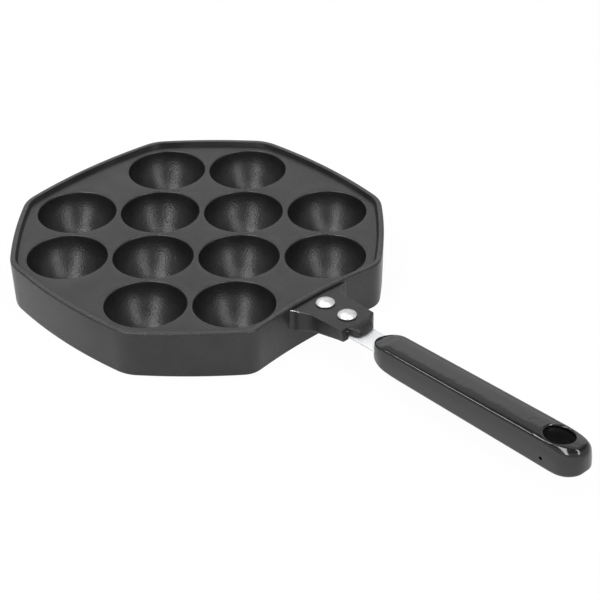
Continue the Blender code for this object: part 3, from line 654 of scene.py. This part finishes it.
def make_strip(sizes, material):
    """Flat strip with round-cornered ends: y = w(x) cos-cornered, each section a rectangle with broken edges."""
    start, end = STRIP_LOW[0], STRIP_HIGH[0]
    half, corner, edge = STRIP_HIGH[1], sizes.corner, sizes.edge
    middle = (STRIP_LOW[2] + STRIP_HIGH[2]) / 2.0
    thick = (STRIP_HIGH[2] - STRIP_LOW[2]) / 2.0
    turn = np.linspace(0.0, math.pi / 2.0, 9)
    near_x, near_half = start + corner * (1.0 - np.cos(turn)), half - corner * (1.0 - np.sin(turn))
    far_x, far_half = (start + end - near_x)[::-1], near_half[::-1]
    x = np.concatenate((near_x, np.linspace(near_x[-1], far_x[0], 12)[1:-1], far_x))
    width = np.concatenate((near_half, np.full(10, half), far_half))
    quarter = np.linspace(0.0, math.pi / 2.0, 4)
    corners = np.concatenate([unit(quarter + side * math.pi / 2.0) for side in range(4)])
    lean = np.repeat(((1, 1), (-1, 1), (-1, -1), (1, -1)), 4, axis=0)
    y = (width[:, None] - edge) * lean[:, 0] + edge * corners[:, 0]
    z = np.broadcast_to((thick - edge) * lean[:, 1] + edge * corners[:, 1], y.shape)
    points = np.stack((np.broadcast_to(x[:, None], y.shape), y, middle + z), axis=-1)
    cap = np.array((1.0, 1.0, 0.0))
    level = np.array((0.0, 0.0, middle))
    rings = np.concatenate(((points[:1] * cap + level), points, (points[-1:] * cap + level)))
    shell = Shell()
    shell.grid(rings, closed=True)
    return shell.finish("handle_strip", material, ("handle_tang",), math.radians(30.0))


def make_rivets(sizes, material):
    """Rivets turned about Z: a low dome z = c + sqrt(R^2 - r^2) with a small lip, a shank and a pressed tail."""
    pieces = []
    for name, node, (low, high) in zip(("rivet_near", "rivet_far"), ("rivet_inner", "rivet_outer"), RIVET_BOXES):
        seat = high[2] - sizes.head_height
        dome = sizes.head_height - sizes.head_lip
        ball = (sizes.head_radius ** 2 + dome ** 2) / (2.0 * dome)
        radius = np.linspace(0.0, sizes.head_radius - HEAD_MARGIN, 12)
        head = np.stack((radius, high[2] - ball + np.sqrt(ball ** 2 - radius ** 2)), axis=-1)
        tail = low[2] + sizes.tail_height
        foot = rounded_path(((sizes.head_radius, seat + sizes.head_lip - HEAD_MARGIN), (sizes.head_radius, seat),
                             (sizes.shank_radius, seat), (sizes.shank_radius, tail), (sizes.tail_radius, tail),
                             (sizes.tail_radius, low[2]), (0.0, low[2])), RIVET_ROUNDINGS, 4)
        profile = np.concatenate((head, foot))
        around = unit(np.linspace(0.0, 2.0 * math.pi, 64, endpoint=False))
        centre = np.array(((low[0] + high[0]) / 2.0, (low[1] + high[1]) / 2.0))
        points = lifted(centre + profile[:, None, 0:1] * around, profile[:, None, 1])
        shell = Shell()
        shell.grid(points, closed=True)
        pieces.append(shell.finish(name, material, (node,)))
    return pieces


class GripForm:
    """Half width, heights and edge radius of the grip at distances from its front tip."""

    def __init__(self, sizes):
        self.sizes = sizes
        self.start = GRIP_LOW[0]
        self.length = GRIP_HIGH[0] - GRIP_LOW[0]
        self.middle = (STRIP_LOW[2] + STRIP_HIGH[2]) / 2.0

    def half_width(self, along):
        """Linear taper times an oval front, sqrt(1 - f^2), and a fuller end, (1 - b^p)^(1 / p) with p = 2.3."""
        sizes = self.sizes
        taper = (sizes.front_width + (sizes.end_width - sizes.front_width) * along / self.length) / 2.0
        front = np.clip(1.0 - along / sizes.front_round, 0.0, 1.0)
        back = np.clip(1.0 - (self.length - along) / sizes.end_round, 0.0, 1.0)
        return taper * np.sqrt(1.0 - front ** 2) * (1.0 - back ** GRIP_END_FULLNESS) ** (1.0 / GRIP_END_FULLNESS)

    def top_half(self, along):
        """Half width at the upper edges, where the sides draw in by the bulge."""
        return self.half_width(along) * (1.0 - 2.0 * self.sizes.side_bulge / self.sizes.front_width)

    def crown(self, along, across):
        """Fall of the top, c y^4 over the half width, fading with the square of the width at both ends."""
        half = self.top_half(along)
        fullness = half / (self.sizes.front_width / 2.0)
        share = np.minimum(np.abs(across) / np.maximum(half, 1e-6), 1.0)
        return self.sizes.crown * np.minimum(fullness, 1.0) ** 2 * share ** 4

    def side_half(self, along, height):
        """Half width of the side at a height: full below, drawn in by a square law over the upper 60 percent."""
        rise, depth = self.heights(along)
        upper, lower = self.radii(along)
        half, top_half = self.half_width(along), self.top_half(along)
        top = rise - upper - self.crown(along, top_half)
        share = (top - (height - self.middle)) / (top + depth - lower)
        return half - (half - top_half) * (1.0 - np.clip(share / UPPER_SIDE_SHARE, 0.0, 1.0)) ** 2

    def edge(self, along):
        """Radius of the upper edges: small, growing by 3 s^2 - 2 s^3 over the last stretch."""
        sizes = self.sizes
        share = np.clip(1.0 - (self.length - along) / sizes.end_edge_run, 0.0, 1.0)
        return sizes.edge + (sizes.end_edge - sizes.edge) * share * share * (3.0 - 2.0 * share)

    def heights(self, along):
        """Rise and depth: linear, swelling over the nose as a quarter sine, tucked up and rounded at the end."""
        sizes = self.sizes
        share = along / self.length
        rise = sizes.front_rise + (sizes.end_rise - sizes.front_rise) * share
        depth = sizes.front_depth + (sizes.end_depth - sizes.front_depth) * share
        upper_swell = np.sin(np.minimum(1.0, along / sizes.nose_top_length) * math.pi / 2.0)
        lower_swell = np.sin(np.minimum(1.0, along / sizes.nose_length) * math.pi / 2.0)
        rise = sizes.neck_rise + (rise - sizes.neck_rise) * upper_swell
        depth = sizes.neck_depth + (depth - sizes.neck_depth) * lower_swell
        left = self.length - along
        depth = depth - sizes.end_tuck * np.maximum(0.0, 1.0 - left / sizes.end_tuck_run) ** 2
        upper = self.edge(along)
        rise = rise - upper + np.sqrt(upper ** 2 - np.maximum(0.0, upper - left) ** 2)
        lower = sizes.lower_edge
        depth = depth - lower + np.sqrt(lower ** 2 - np.maximum(0.0, lower - left) ** 2)
        return rise, depth

    def radii(self, along):
        """Edge radii that fit into the section."""
        rise, depth = self.heights(along)
        limit = np.minimum(self.top_half(along), (rise + depth) / 2.0)
        return np.minimum(self.edge(along), limit), np.minimum(self.sizes.lower_edge, limit)

    def surface(self, along, across, upper):
        """Height of the top or bottom at a plan place: crowned or flat, then falling as the edge's arc."""
        rise, depth = self.heights(along)
        radius = self.radii(along)[0 if upper else 1]
        half = self.top_half(along) if upper else self.half_width(along)
        over = np.clip(np.abs(across) - (half - radius), 0.0, radius)
        fall = radius - np.sqrt(np.maximum(radius ** 2 - over ** 2, 0.0))
        return self.middle + (rise - fall - self.crown(along, across) if upper else fall - depth)


def ring_loop(first, last, low, high):
    """Station and column numbers round a rectangle of grid points, in order."""
    stations = np.arange(first, last)
    columns = np.arange(low, high)
    side = np.concatenate((stations, np.full(len(columns), last), stations[::-1] + 1, np.full(len(columns), first)))
    place = np.concatenate((np.full(len(stations), low), columns, np.full(len(stations), high), columns[::-1] + 1))
    return side, place


def make_grip(sizes, material):
    """Moulded grip: rounded sections at stations, with an oval hang hole and a small side hole.

    Each hole takes the place of a rectangle of grid cells: rings run in straight lines from the rectangle's edge to
    the oval, at the surface's height, then round a small mouth and down the wall.
    """
    form = GripForm(sizes)
    length = form.length
    hole_at = length - sizes.hole_from_end
    side_at = length - sizes.side_hole_from_end
    hole_reach = sizes.hole_length / 2.0 + sizes.hole_mouth + sizes.hole_margin
    swing = np.linspace(0.0, math.pi / 2.0, 20)
    end_line = length - sizes.end_round * (1.0 - np.cos(swing[::-1]))
    stations = np.concatenate((
        sizes.front_round * (1.0 - np.cos(swing)),
        np.linspace(sizes.front_round, hole_at - hole_reach, 22)[1:-1],
        np.linspace(hole_at - hole_reach, hole_at + hole_reach, 31),
        end_line[end_line > hole_at + hole_reach + sizes.side_hole_mouth],
    ))
    half = form.half_width(stations)[:, None]
    top_half = form.top_half(stations)[:, None]
    rise, depth = (values[:, None] for values in form.heights(stations))
    upper, lower = (values[:, None] for values in form.radii(stations))
    flat = np.concatenate((np.linspace(-1.0, -0.25, 7), np.linspace(-0.2, 0.2, 5), np.linspace(0.25, 1.0, 7)))
    high_turn = np.linspace(0.0, math.pi / 2.0, 10)
    low_turn = np.linspace(0.0, math.pi / 2.0, 8)
    top_z, low_z = rise - upper - form.crown(stations[:, None], top_half), -depth + lower
    side_z = top_z + (low_z - top_z) * SIDE_SHARES
    side_y = form.side_half(stations[:, None], form.middle + side_z)

    def joined(*parts):
        return np.concatenate([np.broadcast_to(part, (len(stations), part.shape[1])) for part in parts], axis=1)

    inner = flat[1:-1]
    top_y, top_level, low_y, low_level = top_half - upper, rise - upper, half - lower, lower - depth
    y = joined(top_y + upper * np.cos(high_turn), -top_y * inner, -top_y - upper * np.sin(high_turn), -side_y[:, 1:-1],
               -low_y - lower * np.cos(low_turn), low_y * inner, low_y + lower * np.sin(low_turn), side_y[:, -2:0:-1])
    z = joined(top_level + upper * np.sin(high_turn), rise + 0.0 * inner, top_level + upper * np.cos(high_turn),
               side_z[:, 1:-1], low_level - lower * np.sin(low_turn), 0.0 * inner - depth,
               low_level - lower * np.cos(low_turn), side_z[:, -2:0:-1])
    top_columns = 2 * len(high_turn) + len(flat) - 2
    z[:, :top_columns] -= form.crown(stations[:, None], y[:, :top_columns])
    x = np.broadcast_to(form.start + stations[:, None], y.shape)
    points = np.stack((x, y, form.middle + z), axis=-1)
    columns = points.shape[1]
    kept = np.ones((len(stations) - 1, columns), bool)

    def nearest(place):
        return int(np.argmin(np.abs(stations - place)))

    shell = Shell()
    first, last = nearest(hole_at - hole_reach), nearest(hole_at + hole_reach)
    turns, lows = len(high_turn), len(low_turn)
    into_arc = 4
    top_low, top_high = turns - 1 - into_arc, turns + len(flat) - 2 + into_arc
    under_start = top_columns + len(SIDE_SHARES) - 2
    under_low, under_high = under_start + lows - 1 - into_arc, under_start + lows + len(flat) - 2 + into_arc
    side_start = top_columns - 1
    side_first, side_last = nearest(side_at - sizes.side_hole_margin), nearest(side_at + sizes.side_hole_margin)
    side_low, side_high = side_start + 4, side_start + 8
    oval = np.array((sizes.hole_length, sizes.hole_width)) / 2.0
    mouth = sizes.hole_mouth
    ends = []
    for low, high, is_top in ((top_low, top_high, True), (under_low, under_high, False)):
        kept[first:last, low:high] = False
        loop = points[ring_loop(first, last, low, high)]
        gap = (loop[:, :2] - (form.start + hole_at, 0.0)) / oval
        angle = bearing(gap)
        rim = (form.start + hole_at, 0.0) + (oval + mouth) * unit(angle)
        share = np.linspace(0.0, 1.0, 6)[:, None, None]
        plan = loop[None, :, :2] + (rim - loop[:, :2])[None] * share
        skin = lifted(plan, form.surface(plan[..., 0] - form.start, plan[..., 1], is_top))
        skin[0] = loop
        arc = np.linspace(0.0, math.pi / 2.0, 6)[1:, None]
        drawn = (oval + mouth * (1.0 - np.sin(arc))[..., None]) * unit(angle)
        sign = -1.0 if is_top else 1.0
        bend = lifted(drawn + (form.start + hole_at, 0.0), skin[-1, :, 2] + sign * mouth * (1.0 - np.cos(arc)))
        shell.grid(np.concatenate((skin, bend)), closed=True)
        ends.append((bend[-1], angle))
    (above, above_angle), (below, below_angle) = ends
    if wrapped(below_angle[1] - below_angle[0]) * wrapped(above_angle[1] - above_angle[0]) < 0.0:
        below = np.concatenate((below[:1], below[1:][::-1]))
        below_angle = np.concatenate((below_angle[:1], below_angle[1:][::-1]))
    shift = int(np.argmin(np.abs(wrapped(below_angle - above_angle[0]))))
    below, below_angle = np.roll(below, -shift, axis=0), np.roll(below_angle, -shift)
    share = np.linspace(0.0, 1.0, 8)[:, None]
    angle = above_angle + wrapped(below_angle - above_angle) * share
    height = above[:, 2] + (below[:, 2] - above[:, 2]) * share
    bore = lifted((form.start + hole_at, 0.0) + oval * unit(angle), height)
    bore[0], bore[-1] = above, below
    # The bore's rows carry the mark for painted shade inside the hang hole: none at the upper mouth, full from the
    # third row down.
    shell.grid(bore, closed=True, wear=np.minimum(1.0, np.arange(8.0) / 1.5)[:, None])

    kept[side_first:side_last, side_low:side_high] = False
    loop = points[ring_loop(side_first, side_last, side_low, side_high)]
    centre = np.array((form.start + side_at, form.middle - sizes.side_hole_drop))
    angle = bearing(loop[:, ::2] - centre)
    radius = sizes.side_hole_radius
    soft = sizes.side_hole_mouth
    rim = centre + (radius + soft) * unit(angle)
    share = np.linspace(0.0, 1.0, 4)[:, None, None]
    face = loop[None, :, ::2] + (rim - loop[:, ::2])[None] * share
    arc = np.linspace(0.0, math.pi / 2.0, 4)[1:, None, None]
    bend = centre + (radius + soft * (1.0 - np.sin(arc))) * unit(angle)
    floor = centre + radius * np.array((1.0, 0.0))[:, None, None] * unit(angle)
    flat_plan = np.concatenate((face, bend, floor))
    inward = np.concatenate((np.zeros(4), soft * (1.0 - np.cos(arc[:, 0, 0])), np.full(2, sizes.side_hole_depth)))
    outer_y = -form.side_half(flat_plan[..., 0] - form.start, flat_plan[..., 1])
    hole = np.stack((flat_plan[..., 0], outer_y + inward[:, None], flat_plan[..., 1]), axis=-1)
    hole[0] = loop
    hole[-1, :, 1] = hole[-1, :, 1].mean()
    shell.grid(hole, closed=True)

    shell.add(points, grid_quads(points.shape[:2], closed=True)[kept])
    return shell.finish("grip_moulding", material, ("grip",), math.radians(50.0))


def feed(tree, node, inputs):
    """Set a node's inputs by name or number: values go on their sockets, output sockets are linked."""
    for key, value in inputs.items():
        if isinstance(value, bpy.types.NodeSocket):
            tree.links.new(value, node.inputs[key])
        else:
            node.inputs[key].default_value = value


def add_node(tree, kind, inputs=None, **settings):
    """Add a node: settings are its own fields, inputs are values or output sockets for its input sockets."""
    node = tree.nodes.new(kind)
    for field, value in settings.items():
        setattr(node, field, value)
    feed(tree, node, inputs or {})
    return node


def noise(tree, place, scale, detail, roughness=0.5):
    """Noise with so many waves in a metre."""
    inputs = {"Vector": place, "Scale": scale, "Detail": detail, "Roughness": roughness}
    return add_node(tree, "ShaderNodeTexNoise", inputs).outputs["Fac"]


def spread(tree, value, source, target):
    """A value carried from one range to another."""
    inputs = {"Value": value, "From Min": source[0], "From Max": source[1], "To Min": target[0], "To Max": target[1]}
    return add_node(tree, "ShaderNodeMapRange", inputs).outputs["Result"]


def reckon(tree, operation, *values, clamp=False):
    """Sum, product or the like of values."""
    return add_node(tree, "ShaderNodeMath", dict(enumerate(values)), operation=operation, use_clamp=clamp).outputs[0]


def blended(tree, share, first, second):
    """Mix of two colours."""
    return add_node(tree, "ShaderNodeMix", {0: share, 6: first, 7: second}, data_type="RGBA").outputs[2]


def shaded(tree, value, colour, low, high=1.0):
    """A colour that goes from a low to a high share of itself."""
    ramp = add_node(tree, "ShaderNodeValToRGB", {"Fac": value})
    for element, share in zip(ramp.color_ramp.elements, (low, high)):
        element.color = opaque([part * share for part in colour])
    return ramp.outputs["Color"]


def raised(tree, height, strength, distance):
    """Normal of a bump that stands out by a distance in metres."""
    return add_node(tree, "ShaderNodeBump", {"Height": height, "Strength": strength,
                                             "Distance": distance}).outputs["Normal"]


def opaque(colour):
    """A colour with full alpha."""
    return (*colour, 1.0)


def new_material(name):
    """A new node material, its tree, its shader, and the place on the object in metres."""
    material = bpy.data.materials.new(name)
    material.use_nodes = True
    tree = material.node_tree
    place = add_node(tree, "ShaderNodeTexCoord").outputs["Object"]
    return material, tree, tree.nodes["Principled BSDF"], place


def sprayed_coating(colours):
    """Non-stick PTFE coating sprayed on cast aluminium: matt charcoal with a fine pebbled skin.

    The grit of the cast skin is about 0.4 mm and is drawn at 0.9 mm, so that it shows at the photo's scale. Edges
    that rub, such as rims and lips, are a little lighter. In the groove inside the rim, where the attribute is
    negative, the specular level is lowered: painted shade of the groove. Where the attribute is well above 1.5 the
    coating has chipped off in specks and shows bare aluminium.
    """
    material, tree, shader, place = new_material("sprayed_non_stick_coating")
    grit = noise(tree, place, 1100.0, 1.0)
    cloud = noise(tree, place, 45.0, 3.0, 0.6)
    patches = noise(tree, place, 420.0, 4.0, 0.7)
    wear_and_shade = add_node(tree, "ShaderNodeAttribute", attribute_name="edge_wear").outputs["Fac"]
    wear = reckon(tree, "MULTIPLY", wear_and_shade, spread(tree, patches, (0.35, 0.7), (0.04, 0.27)), clamp=True)
    lighter = reckon(tree, "ADD", wear, spread(tree, cloud, (0.3, 0.7), (0.0, 0.08)), clamp=True)
    tone = blended(tree, lighter, opaque(colours.coating), opaque(colours.coating_light))
    chipped = spread(tree, reckon(tree, "MULTIPLY", wear_and_shade, patches), (1.05, 1.2), (0.0, 1.0))
    feed(tree, shader, {
        "Base Color": blended(tree, chipped, tone, opaque(colours.rivet)),
        "Metallic": chipped,
        "Roughness": spread(tree, grit, (0.3, 0.7), (0.30, 0.38)),
        # Painted shade: the specular level falls to 0.16 in the rim groove, where the attribute is -1, and stays 0.5
        # elsewhere.
        "Specular IOR Level": spread(tree, wear_and_shade, (-1.0, 0.0), (0.16, 0.5)),
        "Normal": raised(tree, grit, 0.6, 0.00026),
        "IOR": 1.5,
    })
    return material


def plated_steel(colours):
    """Nickel-plated steel strip, rolled and brushed lengthways: bright grey with fine lines along the handle.

    The brush lines are about 0.2 mm apart and are drawn at 0.5 mm across and 20 mm along.
    """
    material, tree, shader, place = new_material("brushed_plated_steel")
    drawn = add_node(tree, "ShaderNodeMapping", {"Vector": place, "Scale": (50.0, 2000.0, 2000.0)}).outputs[0]
    lines = noise(tree, drawn, 1.0, 2.0)
    feed(tree, shader, {
        "Base Color": shaded(tree, lines, colours.strip, 0.86),
        "Metallic": 1.0,
        "Roughness": spread(tree, lines, (0.3, 0.7), (0.56, 0.68)),
        "Normal": raised(tree, lines, 0.2, 0.00004),
    })
    return material


def bare_aluminium(colours):
    """Cold-headed aluminium rivets: soft silver with shallow press marks about 1.2 mm wide."""
    material, tree, shader, place = new_material("headed_aluminium")
    marks = noise(tree, place, 850.0, 2.0)
    feed(tree, shader, {
        "Base Color": shaded(tree, marks, colours.rivet, 0.62),
        "Metallic": 1.0,
        "Roughness": spread(tree, marks, (0.3, 0.7), (0.42, 0.55)),
        "Normal": raised(tree, marks, 0.5, 0.0002),
    })
    return material


def moulded_phenolic(colours):
    """Compression-moulded black phenolic: glossy black with a faint ripple about 6 mm wide left by the mould.

    The wall of the hang hole, which the attribute marks, is rough and has a low specular level: painted shade inside
    the hole. Three spots of about 0.9 mm before the hole on the top have a low specular level: painted shade of
    three tiny pits.
    """
    material, tree, shader, place = new_material("moulded_black_phenolic")
    ripple = noise(tree, place, 170.0, 1.0)
    speck = noise(tree, place, 900.0, 3.0)
    bore_shade = add_node(tree, "ShaderNodeAttribute", attribute_name="edge_wear").outputs["Fac"]
    apart = add_node(tree, "ShaderNodeSeparateXYZ", {0: place})
    plan = add_node(tree, "ShaderNodeCombineXYZ", {0: apart.outputs[0], 1: apart.outputs[1]}).outputs[0]
    # Three small spots that stand for pits: painted shade, a lower specular level with no hollow in the surface.
    first, second, third = (
        add_node(tree, "ShaderNodeVectorMath", {0: plan, 1: (*pit, 0.0)}, operation="DISTANCE").outputs["Value"]
        for pit in PIT_PLACES)
    nearest = reckon(tree, "MINIMUM", reckon(tree, "MINIMUM", first, second), third)
    pit_shade = spread(tree, nearest, (PIT_FLOOR, PIT_EDGE), (1.0, 0.0))
    upper = reckon(tree, "GREATER_THAN", apart.outputs[2], STRIP_HIGH[2])
    # Painted shade: the specular level drops inside the hang hole and at the three pits.
    pit_and_bore_shade = reckon(tree, "MULTIPLY_ADD", pit_shade, upper, bore_shade, clamp=True)
    polish = spread(tree, speck, (0.3, 0.75), (0.07, 0.14))
    feed(tree, shader, {
        "Base Color": shaded(tree, speck, colours.phenolic, 0.7, 1.6),
        "Roughness": add_node(tree, "ShaderNodeMix", {"Factor": bore_shade, "A": polish, "B": 0.6}).outputs[0],
        "Specular IOR Level": spread(tree, pit_and_bore_shade, (0.0, 1.0), (0.5, 0.1)),
        "Normal": raised(tree, ripple, 0.15, 0.0006),
        "IOR": 1.6,
    })
    return material


def studio_paper(colours):
    """Matt white studio paper: shows as plain white to camera and gloss, and keeps part of the object's shadow."""
    material, tree, shader, place = new_material("white_studio_paper")
    fibre = noise(tree, place, 300.0, 3.0)
    feed(tree, shader, {"Base Color": opaque(colours.floor),
                        "Roughness": spread(tree, fibre, (0.0, 1.0), (0.85, 0.95))})
    path = add_node(tree, "ShaderNodeLightPath").outputs
    gloss = reckon(tree, "ADD", path["Is Glossy Ray"], path["Is Transmission Ray"], clamp=True)
    part = reckon(tree, "MULTIPLY_ADD", path["Is Camera Ray"], 0.97, reckon(tree, "MULTIPLY", gloss, 0.55))
    white = add_node(tree, "ShaderNodeEmission", {"Color": (1.0, 1.0, 1.0, 1.0), "Strength": 1.0}).outputs[0]
    mix = add_node(tree, "ShaderNodeMixShader", {"Fac": part, 1: shader.outputs[0], 2: white})
    tree.links.new(mix.outputs[0], tree.nodes["Material Output"].inputs["Surface"])
    return material


def make_floor(sizes, material):
    """Round studio floor that turns up into a backdrop all round, as a profile turned about Z."""
    radius, rise = sizes.floor_radius, sizes.backdrop_height
    profile = rounded_path(((0.0, 0.0), (radius, 0.0), (radius, rise)), (0.8,), 16)
    around = unit(np.linspace(0.0, 2.0 * math.pi, 96, endpoint=False))
    points = lifted(profile[:, None, 0:1] * around, profile[:, None, 1])
    mesh = bpy.data.meshes.new("studio_floor")
    mesh.from_pydata(points.reshape(-1, 3), [], grid_quads(points.shape[:2], closed=True).reshape(-1, 4))
    shape = bmesh.new()
    shape.from_mesh(mesh)
    bmesh.ops.remove_doubles(shape, verts=shape.verts, dist=MERGE_DISTANCE)
    shape.to_mesh(mesh)
    shape.free()
    mesh.shade_smooth()
    mesh.materials.append(material)
    floor = bpy.data.objects.new("studio_floor", mesh)
    bpy.context.scene.collection.objects.link(floor)
    return floor


def add_softbox(name, place, target, along, size, power):
    """Rectangular soft lamp at a place, turned to a target, its long side as near as can be to a direction."""
    lamp = bpy.data.lights.new(name, "AREA")
    lamp.shape = "RECTANGLE"
    lamp.size, lamp.size_y = size
    lamp.energy = power
    item = bpy.data.objects.new(name, lamp)
    back = (place - target).normalized()
    side = along.cross(back).normalized()
    turned = Matrix((side, back.cross(side), back)).transposed()
    item.matrix_world = Matrix.Translation(place) @ turned.to_4x4()
    item.visible_camera = False
    bpy.context.scene.collection.objects.link(item)
    return item


def photo_direction(right, away, up):
    """A direction given as seen by the camera: to its right, away from it, and up."""
    sine, cosine = math.sin(CAMERA_AZIMUTH), math.cos(CAMERA_AZIMUTH)
    return Vector((cosine * right - sine * away, sine * right + cosine * away, up))


def make_stage(sizes, colours):
    """Floor, lamps, world and camera."""
    make_floor(sizes, studio_paper(colours))
    pan_middle = Vector((PAN_LOW[0] + LAMP_AIM_FROM_LOW, 0.0, 0.0))
    for name, place, along, size, power in SOFTBOXES:
        add_softbox(name, photo_direction(*place), pan_middle, photo_direction(*along), size, power)
    world = bpy.data.worlds.new("studio_air")
    world.use_nodes = True
    background = world.node_tree.nodes["Background"]
    background.inputs["Color"].default_value = (AIR_GREY, AIR_GREY, AIR_GREY, 1.0)
    bpy.context.scene.world = world
    camera_data = bpy.data.cameras.new("photo_camera")
    camera_data.lens = sizes.lens
    camera_data.sensor_width = 36.0
    camera = bpy.data.objects.new("photo_camera", camera_data)
    sine, cosine = math.sin(CAMERA_AZIMUTH), math.cos(CAMERA_AZIMUTH)
    tilt, level = math.sin(CAMERA_ELEVATION), math.cos(CAMERA_ELEVATION)
    back = Vector((sine * level, -cosine * level, tilt))
    right = Vector((cosine, sine, 0.0))
    up = back.cross(right)
    roll_sine, roll_cosine = math.sin(CAMERA_ROLL), math.cos(CAMERA_ROLL)
    turned = Matrix((roll_cosine * right + roll_sine * up, roll_cosine * up - roll_sine * right, back)).transposed()
    camera.matrix_world = Matrix.Translation(CAMERA_PLACE) @ turned.to_4x4()
    bpy.context.scene.collection.objects.link(camera)
    bpy.context.scene.camera = camera
    bpy.context.scene.view_settings.view_transform = "Standard"


class TAKOYAKI_PAN_OT_casting(bpy.types.Operator):
    """Build the coated casting and its bracket"""

    bl_idname = "takoyaki_pan.casting"
    bl_label = "Casting"

    def execute(self, context):
        scene = context.scene
        coating = sprayed_coating(scene.finish_colours)
        make_casting(scene.pan_sizes, coating)
        make_bracket(scene.pan_sizes, scene.bracket_sizes, coating)
        return {"FINISHED"}


class TAKOYAKI_PAN_OT_strip(bpy.types.Operator):
    """Build the plated strip between bracket and grip"""

    bl_idname = "takoyaki_pan.strip"
    bl_label = "Handle strip"

    def execute(self, context):
        make_strip(context.scene.strip_sizes, plated_steel(context.scene.finish_colours))
        return {"FINISHED"}


class TAKOYAKI_PAN_OT_rivets(bpy.types.Operator):
    """Build the two rivets"""

    bl_idname = "takoyaki_pan.rivets"
    bl_label = "Rivets"

    def execute(self, context):
        make_rivets(context.scene.strip_sizes, bare_aluminium(context.scene.finish_colours))
        return {"FINISHED"}


class TAKOYAKI_PAN_OT_grip(bpy.types.Operator):
    """Build the moulded grip with its hang hole"""

    bl_idname = "takoyaki_pan.grip"
    bl_label = "Grip"

    def execute(self, context):
        make_grip(context.scene.grip_sizes, moulded_phenolic(context.scene.finish_colours))
        return {"FINISHED"}


class TAKOYAKI_PAN_OT_stage(bpy.types.Operator):
    """Build the floor, lamps and camera"""

    bl_idname = "takoyaki_pan.stage"
    bl_label = "Stage"

    def execute(self, context):
        make_stage(context.scene.stage_sizes, context.scene.finish_colours)
        return {"FINISHED"}


class TAKOYAKI_PAN_PT_sidebar(bpy.types.Panel):
    """Sizes, colours and pieces of the pan"""

    bl_label = "Takoyaki Pan"
    bl_idname = "TAKOYAKI_PAN_PT_sidebar"
    bl_space_type = "VIEW_3D"
    bl_region_type = "UI"
    bl_category = "Takoyaki Pan"

    def draw(self, context):
        for attribute, group in GROUPS:
            box = self.layout.box()
            box.label(text=attribute.replace("_", " ").capitalize())
            for field in group.__annotations__:
                box.prop(getattr(context.scene, attribute), field)
        for operator in OPERATORS:
            self.layout.operator(operator.bl_idname)


GROUPS = (("pan_sizes", PanSizes), ("bracket_sizes", BracketSizes), ("strip_sizes", StripSizes),
          ("grip_sizes", GripSizes), ("finish_colours", FinishColours), ("stage_sizes", StageSizes))
OPERATORS = (TAKOYAKI_PAN_OT_casting, TAKOYAKI_PAN_OT_strip, TAKOYAKI_PAN_OT_rivets, TAKOYAKI_PAN_OT_grip,
             TAKOYAKI_PAN_OT_stage)


def register():
    """Register the classes and hang the property groups on the scene."""
    for attribute, group in GROUPS:
        bpy.utils.register_class(group)
        setattr(bpy.types.Scene, attribute, PointerProperty(type=group))
    for kind in (*OPERATORS, TAKOYAKI_PAN_PT_sidebar):
        bpy.utils.register_class(kind)


def unregister():
    """Take everything off again."""
    for kind in (TAKOYAKI_PAN_PT_sidebar, *reversed(OPERATORS)):
        bpy.utils.unregister_class(kind)
    for attribute, group in reversed(GROUPS):
        delattr(bpy.types.Scene, attribute)
        bpy.utils.unregister_class(group)


def main():
    """Build every piece and the stage."""
    register()
    bpy.ops.takoyaki_pan.casting()
    bpy.ops.takoyaki_pan.strip()
    bpy.ops.takoyaki_pan.rivets()
    bpy.ops.takoyaki_pan.grip()
    bpy.ops.takoyaki_pan.stage()


if __name__ == "__main__":
    main()
